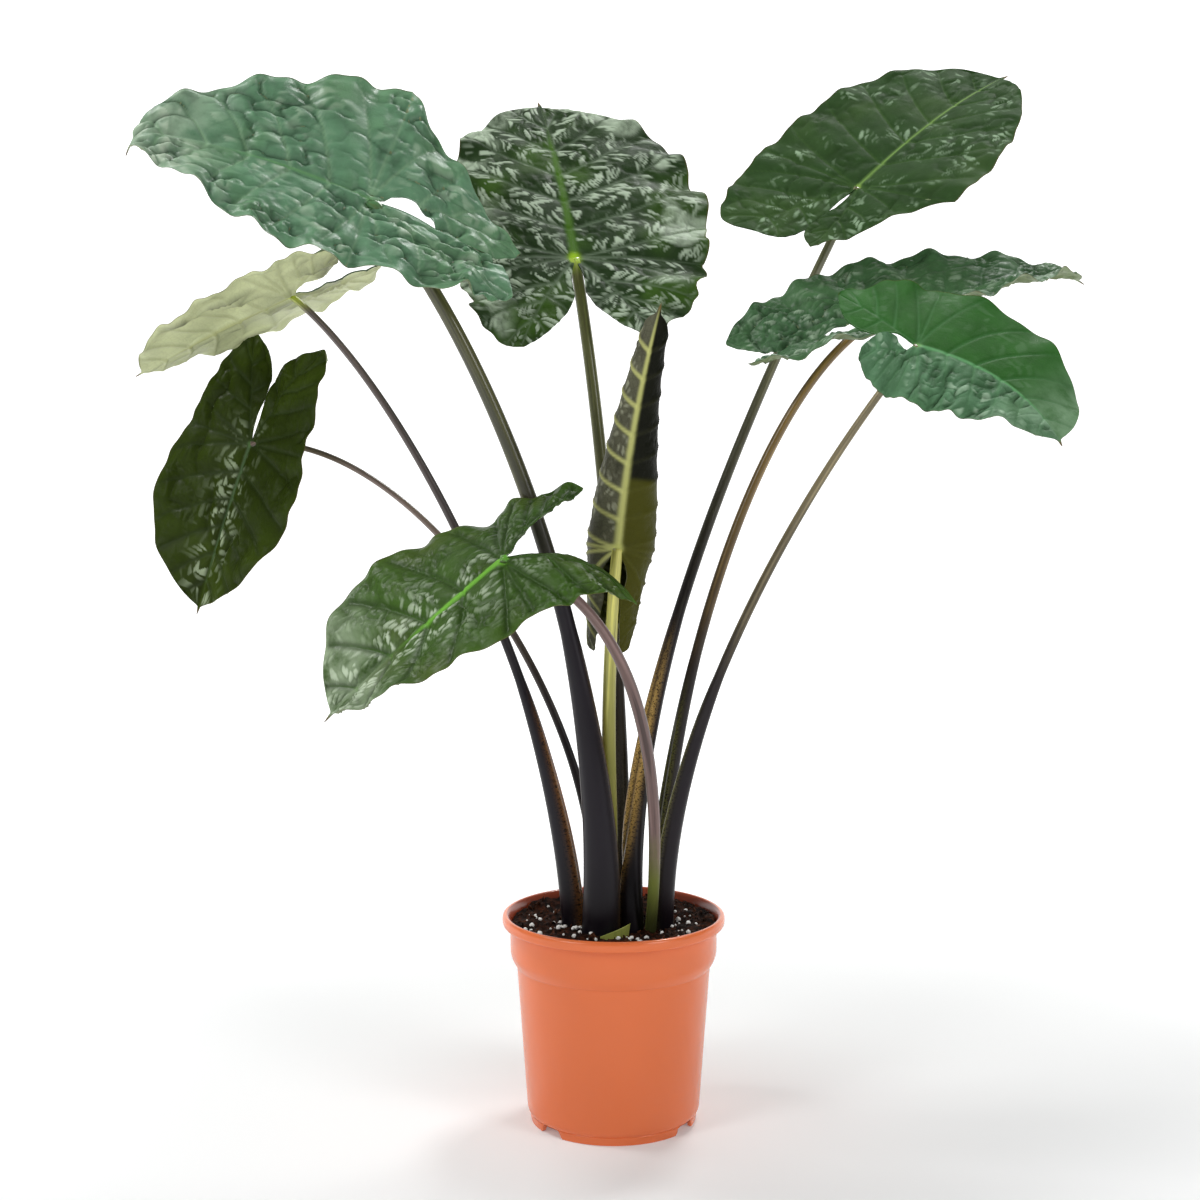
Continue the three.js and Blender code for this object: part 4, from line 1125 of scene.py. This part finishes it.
def stalk_finish(leaf):
    """Smooth stalk: its colour runs from the sheath to the top, with fine lengthwise streaks
    and a dry edge along the sheath's groove. The dark and pale streaks on the upper stalk are partly
    its own streaking and partly painted shade and highlight of a glossy round stalk."""
    stalk = leaf["stalk"]

    def build(shade):
        run = shade.field("run")
        skin = shade.field("skin", "Vector")
        streak = shade.noise(shade.stretch(skin, (1, 1, 0.04)), 170, detail=3)
        grain = shade.noise(skin, 700, detail=3)
        blotch = shade.noise(skin, 22, detail=3)
        high = stalk["high"]
        share = (run + (blotch - 0.5) * 0.2).step(*stalk.get("turn", (0.35, 0.9)))
        body = shade.layers(
            shade.blend(share, stalk["low"], high),
            (run.step(*TOP_TINT), stalk.get("top", high)),
            ((1 - run.step(*FOOT_SPAN)) * 0.8, FOOT_COLOUR),
            # Dark and pale streaks: partly the stalk's own, partly painted shade and highlight.
            ((1 - streak.step(0.38, 0.5)) * 0.75 * share, scaled(high, 0.3)),
            (streak.step(0.52, 0.68) * 0.75 * share, scaled(high, 1.9)),
            (shade.field("edge") * grain.step(0.3, 0.55), stalk["edge"]),
        )
        return {
            "Base Color": body,
            "Roughness": streak * 0.2 + 0.26,
            "Specular IOR Level": 0.22,
            "Coat Weight": share * 0.6,
            "Coat Roughness": 0.16,
            "Normal": shade.bump(streak, strength=0.2, distance=0.0005),
        }

    return finish(f"{leaf['name']} stalk", build)


def stalk_piece(leaf):
    """A stalk: rings along a cubic curve from the crown to the blade. A ring's reach is
    r (1 - groove cos(turn)^4), with the groove on the side that faces the middle of the plant;
    the groove closes at the top of the sheath. The last ring is cut level with the blade."""
    stalk = leaf["stalk"]
    top = np.array(leaf["joint"], float)
    foot = np.array([*stalk["base"], SOIL_Z], float)
    rise, arrive = np.array(stalk["rise"], float), np.array(stalk["arrive"], float)
    t = np.linspace(0, 1, STALK_RINGS)[:, None]
    path = (1 - t) ** 3 * foot + 3 * t * (1 - t) ** 2 * rise + 3 * t**2 * (1 - t) * arrive + t**3 * top
    along = quadratic(rise - foot, arrive - rise, top - arrive, t)
    path = np.concatenate([[[*stalk["base"], CROWN_TOP + GAP]], path])
    along = unit(np.concatenate([[[0, 0, 1]], along]))
    z = path[:, 2]
    radius = stalk_radius(stalk, z, top[2])
    groove = STALK_GROOVE * (1 - smooth(z, stalk["sheath_top"] - GROOVE_FADE, stalk["sheath_top"]))
    inwards = np.array([*CROWN_CENTRE, 0]) - path
    inwards[:, 2] = 0
    facing = unit(inwards - np.sum(inwards * along, axis=1, keepdims=True) * along)
    aside = np.cross(along, facing)
    turn = full_turn(STALK_SIDES)
    reach = radius[:, None] * (1 - groove[:, None] * np.maximum(0, np.cos(turn)) ** GROOVE_POWER)
    rings = path[:, None] + (reach * np.cos(turn))[..., None] * facing[:, None]
    rings += (reach * np.sin(turn))[..., None] * aside[:, None]
    seat = leaf_frame(leaf)[2]
    rings[-1] -= seat * np.maximum(np.sum((rings[-1] - top) * seat, axis=1), 0)[:, None]
    points = np.concatenate([rings.reshape(-1, 3), path[:1], path[-1:]])
    count = len(path) * STALK_SIDES
    ids = np.pad(np.arange(count).reshape(-1, STALK_SIDES), ((1, 1), (0, 0)))
    ids[[0, -1]] = [[count], [count + 1]]
    faces = facing_out(points, grid_faces(np.concatenate([ids, ids[:, :1]], axis=1)))
    run = (z - SOIL_Z) / (top[2] - SOIL_Z)
    bound = np.minimum(np.abs(turn - EDGE_TURN), np.abs(turn - 2 * np.pi + EDGE_TURN))
    edge = (groove / STALK_GROOVE)[:, None] * hump(bound, EDGE_WIDTH)
    skin = around(radius.mean(), turn, z[:, None])
    attributes = {
        "run": np.concatenate([np.repeat(run, STALK_SIDES), run[:1], run[-1:]]),
        "edge": np.concatenate([edge.ravel(), [0, 0]]),
        "skin": np.concatenate([skin.reshape(-1, 3), np.zeros((2, 3))]) * MM,
    }
    piece = add_piece(f"stalk_{leaf['name']}", points, faces, (stalk_finish(leaf),), None, attributes)
    stand_for(piece, f"petiole_{leaf['name']}")


def rounded(corners):
    """A profile with each of its corners, a radius, a height and a reach, taken off by a
    quadratic arc that starts the reach before the corner and ends as far after it."""
    profile, reaches = np.array(corners, float)[:, :2], [corner[2] for corner in corners]
    points = [profile[:1]]
    t = np.linspace(0, 1, ARC_STEPS)[:, None]
    for before, corner, after, reach in zip(profile, profile[1:], profile[2:], reaches[1:]):
        ends = []
        for end in (before, after):
            side = min(reach, ARC_REACH * np.linalg.norm(end - corner))
            ends.append(corner + unit(end - corner) * side)
        points.append(quadratic(ends[0], corner, ends[1], t))
    points.append(profile[-1:])
    return np.concatenate(points)


def inner_corners(wall):
    """Radius, height and rounding of the pot's inner corners, from the collar to the axis."""
    return [
        (COLLAR_RADIUS - wall, COLLAR_BOTTOM + 0.5, 3),
        (SHOULDER_RADIUS - wall, SHOULDER_Z + 0.5, 1),
        (SHOULDER_RADIUS - 1 - wall, SHOULDER_Z - 1, 1),
        (BODY_LOW_RADIUS - wall, FOOT_BAND + 6, 2),
        (BODY_LOW_RADIUS - 5, CHANNEL_TOP + FLOOR_THICK, 2),
        (CHANNEL_INNER, CHANNEL_TOP + FLOOR_THICK, 1),
        (CHANNEL_INNER - 2, FLOOR_THICK, 1),
        (0, FLOOR_THICK, 0),
    ]


def pot_piece(settings):
    """The pot: a rounded profile turned round the upright axis. The foot ring's lower points
    are lifted to the top of each opening, a trapezoid on the ring's outside."""
    wall = settings.wall / MM
    inside = COLLAR_RADIUS - wall
    ring = FOOT_RADIUS - FOOT_RING_WIDTH
    outer_corners = [
        (0, 0, 0),
        (CHANNEL_INNER - 1, 0, 1),
        (CHANNEL_INNER + 1, CHANNEL_TOP, 1),
        (ring - 1, CHANNEL_TOP, 0.8),
        (ring, 0, 0.8),
        (FOOT_RADIUS, 0, 0.8),
        (FOOT_RADIUS + 1, FOOT_BAND - 0.4, 0.5),
        (FOOT_RADIUS + 0.5, FOOT_BAND, 0.4),
        (BODY_LOW_RADIUS - 1, FOOT_BAND + 2, 1),
        (BODY_LOW_RADIUS, FOOT_BAND + 5, 2),
        (SHOULDER_RADIUS - 0.6, SHOULDER_Z - 1, 0.6),
        (SHOULDER_RADIUS + 0.6, SHOULDER_Z, 0.8),
        (COLLAR_RADIUS, COLLAR_BOTTOM, 7),
        (COLLAR_RADIUS, RIM_BOTTOM - 1, 1),
        (RIM_RADIUS - 1, RIM_BOTTOM, 2),
        (RIM_RADIUS, RIM_BOTTOM + 3, 3),
        (RIM_RADIUS, RIM_TOP - 2, 3),
        (RIM_RADIUS - 2, RIM_TOP, 1.5),
        (inside + 4, RIM_TOP, 3),
        (inside + 0.5, RIM_BOTTOM + 3, 3),
    ]
    profile = rounded(outer_corners + inner_corners(wall))
    radius, height = profile.T
    turn = full_turn(POT_COLUMNS)
    grid = around(profile[:, :1], turn, profile[:, 1:])
    middle = np.radians(NOTCH_ANGLES)
    aside = np.abs((turn[:, None] - middle + np.pi) % (2 * np.pi) - np.pi) * FOOT_RADIUS
    lift = NOTCH_HEIGHT * clamp((NOTCH_WIDTH / 2 - aside.min(axis=1)) / NOTCH_TAPER)
    in_ring = (radius > ring - 0.5) & (height < NOTCH_HEIGHT)
    grid[in_ring, :, 2] = np.maximum(grid[in_ring, :, 2], lift)
    points = grid.reshape(-1, 3)
    faces = facing_out(points, grid_faces(turned_ids(len(profile), POT_COLUMNS)))

    def build(shade):
        place = shade.place()
        mottle = shade.noise(place, 9, detail=2)
        warm = shade.blend(mottle, scaled(settings.colour, 0.95), settings.colour)
        return {
            # Painted shade: the inner wall is darker than the outside.
            "Base Color": shade.blend(shade.field("inner"), warm, settings.inside),
            "Roughness": mottle * 0.04 + 0.24,
            "Coat Weight": 0.15,
            "Coat Roughness": 0.1,
            "Specular IOR Level": 0.4,
            "Normal": shade.bump(shade.noise(place, 900, detail=2), strength=0.05, distance=0.0003),
        }

    inner = np.arange(len(profile)) > np.argmax(height - LIP_TILT * radius)
    attributes = {"inner": np.repeat(inner.astype(float), POT_COLUMNS)}
    piece = add_piece("pot_shell", points, faces, (finish("Moulded plastic", build),), None, attributes)
    stand_for(piece, "pot")


def soil_height(x, y):
    """Gentle bumps, a bank against the wall, and a heap against the right of the rim."""
    bumps = np.sin(x / BUMP_LENGTH[0] + 1) * np.cos(y / BUMP_LENGTH[1])
    ripples = RIPPLE * np.sin(x / RIPPLE_LENGTH[0] - y / RIPPLE_LENGTH[1])
    heap = smooth(x, *HEAP_SPAN)
    bank = smooth(np.hypot(x, y), *BANK_SPAN) * (1 - BANK_LOSS * heap)
    return SOIL_Z + SOIL_BUMP * (bumps + ripples) + SOIL_HEAP * heap + SOIL_BANK * bank


def soil_surface(x, y):
    """The soil's height with its crumbly relief, folded lattice noise of three sizes."""
    place = np.stack([x, y, 0 * x], axis=-1)
    clods = 0
    for seed, (size, height) in enumerate(CLODS, CLOD_SEED):
        clods = clods + height * (CLOD_LEVEL - CLOD_FOLD * np.abs(lattice_noise(place, size, seed)))
    return soil_height(x, y) + clods


def soil_piece(settings):
    """The soil: a turned body that fills the pot, and whose top is the soil's surface."""
    body = np.array(inner_corners(WALL), float)[::-1, :2] + np.array([-GAP, GAP])
    body[0, 0] = 0
    rings = np.linspace(COLLAR_RADIUS - WALL - GAP, 0, SOIL_RINGS)
    profile = np.concatenate([body, np.column_stack([rings, np.full(SOIL_RINGS, SOIL_Z)])])
    grid = around(profile[:, :1], full_turn(SOIL_COLUMNS), profile[:, 1:])
    top = grid[len(body) :]
    top[..., 2] = soil_surface(top[..., 0], top[..., 1])
    points = grid.reshape(-1, 3)
    faces = facing_out(points, grid_faces(turned_ids(len(profile), SOIL_COLUMNS)))

    def build(shade):
        place = shade.place()
        coarse = shade.noise(place, 160, detail=5, roughness=0.7)
        fine = shade.noise(place, 900, detail=3)
        body = shade.blend(coarse.step(0.42, 0.72), settings.dark, settings.light)
        return {
            "Base Color": shade.blend(fine.step(0.62, 0.74) * 0.5, body, settings.bark),
            "Roughness": coarse * 0.25 + 0.65,
            "Specular IOR Level": 0.1,
            "Normal": shade.bump(coarse + fine * 0.5, strength=0.9, distance=0.0015),
        }

    piece = add_piece("potting_soil", points, faces, (finish("Peat", build),))
    stand_for(piece, "soil")


def scatter(draw, count, reach):
    """Random places on the soil inside a radius."""
    turn = draw.uniform(0, 2 * np.pi, count)
    radius = reach * np.sqrt(draw.uniform(LEAST_SHARE, 1, count))
    return around(radius, turn, 0)[:, :2]


def lumps(name, places, sizes, finish_made, draw, sides, rings, rough):
    """Small rough lumps strewn on the soil as one piece: each is a ball on a grid of two angles,
    with random reach at each point, scaled by its three half axes and turned at random."""
    count = len(places)
    polar = np.linspace(0, np.pi, rings)[:, None]
    ball = around(np.sin(polar), full_turn(sides), np.cos(polar))
    reach = 1 + draw.uniform(-rough, rough, (count, rings, sides, 1))
    reach[:, [0, -1]] = 1
    points = ball * reach * sizes[:, None, None, :]
    axes = unit(draw.normal(size=(count, 2, 3)))
    first = axes[:, 0]
    second = unit(np.cross(first, axes[:, 1]))
    basis = np.stack([first, second, np.cross(first, second)], axis=1)
    points = np.einsum("nrsk,nkc->nrsc", points, basis)
    x, y = places.T
    base = np.column_stack([x, y, soil_surface(x, y) + LUMP_LIFT * sizes.min(axis=1)])
    points = (points + base[:, None, None, :]).reshape(-1, 3)
    first_point = (np.arange(count) * rings * sides)[:, None, None]
    faces = (grid_faces(turned_ids(rings, sides)) + first_point).reshape(-1, 4)
    piece = add_piece(name, points, facing_out(points, faces), (finish_made,))
    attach(piece, "root")


def perlite_piece(settings):
    """White grains: drifts that thin out from their centres, and loose grains all over the soil."""
    draw = np.random.default_rng(PERLITE_SEED)
    patches = [draw.normal(*patch, (grains, 2)) for *patch, grains in PERLITE_PATCHES]
    places = np.concatenate([*patches, scatter(draw, PERLITE_LOOSE, PERLITE_REACH)])
    places = places[np.hypot(*places.T) < GRAIN_REACH]
    sizes = settings.grain / MM * draw.uniform(*GRAIN_SPREAD, (len(places), 1))
    sizes = sizes * draw.uniform(*GRAIN_STRETCH, (len(places), 3))

    def build(shade):
        fine = shade.noise(shade.place(), 1500, detail=3)
        dirt = shade.noise(shade.place(), 300, detail=3)
        return {
            "Base Color": shade.blend(dirt.step(0.55, 0.8) * 0.4, settings.perlite, settings.light),
            "Roughness": fine * 0.2 + 0.6,
            "Normal": shade.bump(fine, strength=0.7, distance=0.0008),
        }

    lumps("perlite", places, sizes, finish("Perlite", build), draw, sides=10, rings=7, rough=0.14)


def bark_piece(settings):
    """Dark chips, long and flat, spread evenly over the soil."""
    draw = np.random.default_rng(BARK_SEED)
    places = scatter(draw, settings.bark_count, BARK_REACH)
    sizes = np.column_stack([draw.uniform(*span, len(places)) for span in BARK_SIZES])

    def build(shade):
        grain = shade.noise(shade.place(), 500, detail=4)
        tint = shade.noise(shade.place(), 60, detail=2)
        body = shade.blend(tint.step(0.35, 0.65), settings.dark, settings.bark)
        return {
            "Base Color": shade.blend(grain.step(0.55, 0.75) * 0.4, body, settings.light),
            "Roughness": grain * 0.3 + 0.5,
            "Specular IOR Level": 0.15,
            "Normal": shade.bump(grain, strength=0.8, distance=0.001),
        }

    lumps("bark_chips", places, sizes, finish("Bark", build), draw, sides=7, rings=5, rough=0.35)


def scale_piece(settings):
    """The short scale in front of the stalks: an upright arc whose top edge is arched and leans
    out, closed round its edge."""
    up, across = np.meshgrid(
        np.linspace(0, 1, SCALE_ROWS), np.linspace(0, 1, SCALE_COLUMNS), indexing="ij"
    )
    turn = np.radians(lerp(*SCALE_ARC, across))
    top = SCALE_TOP - SCALE_ARCH * (1 - across) ** ARCH_POWER
    radius = SCALE_RADIUS * (1 + SCALE_LEAN * up**2)
    radius = radius + SCALE_RIDGE * np.sin(SCALE_RIDGES * turn) * (1 - up)
    out = np.stack([np.sin(turn), -np.cos(turn), 0 * turn], axis=-1)
    points = out * radius[..., None] + np.array([*SCALE_CENTRE, 0])
    points[..., 2] = lerp(SCALE_BOTTOM, top, up)
    half = out * (SCALE_HALF * (1 - THIN_EDGE * up**SCALE_THIN_POWER))[..., None]
    both = np.concatenate([(points + half).reshape(-1, 3), (points - half).reshape(-1, 3)])
    ids = np.arange(up.size).reshape(up.shape)
    edge = np.concatenate([ids[0], ids[1:, -1], ids[-1, -2::-1], ids[-2:0:-1, 0]])
    after = np.roll(edge, -1)
    strip = np.stack([edge, after, after + up.size, edge + up.size], axis=-1)
    faces = np.concatenate([grid_faces(ids)[:, ::-1], strip[:, ::-1], grid_faces(ids) + up.size])
    attributes = {"run": np.concatenate([up.ravel()] * 2)}

    def build(shade):
        streak = shade.noise(shade.stretch(shade.place(), (1, 1, 0.1)), 500, detail=3)
        run = shade.field("run").step(0.2, 0.9)
        base = shade.blend(run, scaled(settings.scale, 0.6), settings.scale)
        return {
            "Base Color": shade.blend(streak.step(0.5, 0.75) * 0.4, base, "#6c7034"),
            "Roughness": streak * 0.2 + 0.4,
            "Normal": shade.bump(streak, strength=0.3, distance=0.0005),
        }

    finishes = (finish("Foot scale", build),)
    piece = add_piece("foot_scale", both, facing_out(both, faces), finishes, None, attributes)
    stand_for(piece, "basal_sheath")


def finish_crown(settings):
    """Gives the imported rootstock, which the soil hides, a finish of its own."""

    def build(shade):
        rough = shade.noise(shade.place(), 120, detail=4)
        return {
            "Base Color": shade.blend(rough, scaled(settings.crown, 0.5), settings.crown),
            "Roughness": rough * 0.2 + 0.6,
            "Normal": shade.bump(rough, strength=0.5, distance=0.001),
        }

    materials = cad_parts["crown"].data.materials
    materials.clear()
    materials.append(finish("Rootstock", build))


class PLANT_OT_pot(bpy.types.Operator):
    """Add the plastic pot"""

    bl_idname = "plant.pot"
    bl_label = "Pot"

    def execute(self, context):
        pot_piece(context.scene.potted_plant.pot)
        return {"FINISHED"}


class PLANT_OT_soil(bpy.types.Operator):
    """Add the potting soil with its perlite and bark"""

    bl_idname = "plant.soil"
    bl_label = "Soil"

    def execute(self, context):
        for make in (soil_piece, perlite_piece, bark_piece):
            make(context.scene.potted_plant.soil)
        return {"FINISHED"}


class PLANT_OT_blades(bpy.types.Operator):
    """Add the nine blades"""

    bl_idname = "plant.blades"
    bl_label = "Blades"

    def execute(self, context):
        for leaf in LEAVES:
            blade_piece(leaf, context.scene.potted_plant.blades)
        return {"FINISHED"}


class PLANT_OT_stalks(bpy.types.Operator):
    """Add the stalks and the scale, and finish the buried rootstock"""

    bl_idname = "plant.stalks"
    bl_label = "Stalks"

    def execute(self, context):
        for leaf in LEAVES:
            stalk_piece(leaf)
        scale_piece(context.scene.potted_plant.stalks)
        finish_crown(context.scene.potted_plant.stalks)
        return {"FINISHED"}


def stage_floor(settings):
    """A level floor that curves up behind into an upright wall, as one swept profile. Both glow
    faintly, as a lit white sweep does, and more with their distance from the plant."""
    turn = np.linspace(0, np.pi / 2, BEND_STEPS)
    rise = FLOOR_BEND * (1 - np.cos(turn))
    curve = np.column_stack([FLOOR_BACK + FLOOR_BEND * np.sin(turn), rise])
    profile = np.concatenate([[[-FLOOR_REACH, 0]], curve, [[FLOOR_BACK + FLOOR_BEND, WALL_TOP]]])
    wide = np.array([-FLOOR_REACH, FLOOR_REACH])
    points = np.stack(np.broadcast_arrays(wide, profile[:, :1], profile[:, 1:]), axis=-1)
    faces = grid_faces(np.arange(2 * len(profile)).reshape(-1, 2))

    def build(shade):
        place = shade.place()
        mottle = shade.noise(place, 0.6, detail=2)
        away = shade.node("ShaderNodeVectorMath", {"operation": "LENGTH"}, {0: place}, 1)
        glow = shade.blend(away.step(*GLOW_SPAN), (settings.glow,) * 3, (FAR_GLOW,) * 3)
        return {
            "Base Color": shade.blend(mottle, scaled(settings.floor, 0.98), settings.floor),
            "Roughness": mottle * 0.05 + 0.75,
            "Specular IOR Level": 0.1,
            "Emission Color": glow,
            "Emission Strength": 1.0,
        }

    finishes = (finish("Studio floor", build),)
    add_piece("studio_floor", points.reshape(-1, 3), faces[:, ::-1], finishes)


def soft_light(name, place, aim, size, watts):
    """A rectangular area light at a place, turned to face its aim."""
    lamp = bpy.data.lights.new(name, "AREA")
    lamp.shape = "RECTANGLE"
    lamp.size, lamp.size_y = size
    lamp.energy = watts
    light = bpy.data.objects.new(name, lamp)
    bpy.context.scene.collection.objects.link(light)
    light.location = place
    light.rotation_euler = (Vector(aim) - Vector(place)).to_track_quat("-Z", "Y").to_euler()


class PLANT_OT_stage(bpy.types.Operator):
    """Add the floor, the studio light and the camera"""

    bl_idname = "plant.stage"
    bl_label = "Stage"

    def execute(self, context):
        settings = context.scene.potted_plant.stage
        stage_floor(settings)
        world = bpy.data.worlds.new("Studio")
        world.use_nodes = True
        ground = world.node_tree.nodes["Background"]
        ground.inputs["Color"].default_value = (1, 1, 1, 1)
        ground.inputs["Strength"].default_value = settings.ambient
        context.scene.world = world
        for name, values in LAMPS.items():
            soft_light(name, *values)
        camera = bpy.data.objects.new("camera", bpy.data.cameras.new("camera"))
        camera.data.lens = settings.lens
        camera.data.sensor_width = SENSOR_WIDTH
        camera.location = CAMERA_PLACE
        camera.rotation_euler = (np.radians(CAMERA_TILT), 0, 0)
        context.scene.collection.objects.link(camera)
        context.scene.camera = camera
        context.scene.view_settings.view_transform = "Standard"
        return {"FINISHED"}


OPERATORS = (PLANT_OT_pot, PLANT_OT_soil, PLANT_OT_blades, PLANT_OT_stalks, PLANT_OT_stage)
GROUPS = (PotSettings, SoilSettings, BladeSettings, StalkSettings, StageSettings, PlantSettings)


class PLANT_PT_panel(bpy.types.Panel):
    """Lists the steps that build the potted plant"""

    bl_label = "Potted Alocasia"
    bl_space_type = "VIEW_3D"
    bl_region_type = "UI"
    bl_category = "Plant"

    def draw(self, context):
        for operator in OPERATORS:
            self.layout.operator(operator.bl_idname)


def register():
    for part in (*GROUPS, *OPERATORS, PLANT_PT_panel):
        bpy.utils.register_class(part)
    bpy.types.Scene.potted_plant = PointerProperty(type=PlantSettings)


def unregister():
    del bpy.types.Scene.potted_plant
    for part in reversed((*GROUPS, *OPERATORS, PLANT_PT_panel)):
        bpy.utils.unregister_class(part)


def main():
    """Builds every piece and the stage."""
    register()
    bpy.ops.plant.stage()
    bpy.ops.plant.pot()
    bpy.ops.plant.soil()
    bpy.ops.plant.blades()
    bpy.ops.plant.stalks()


if __name__ == "__main__":
    main()
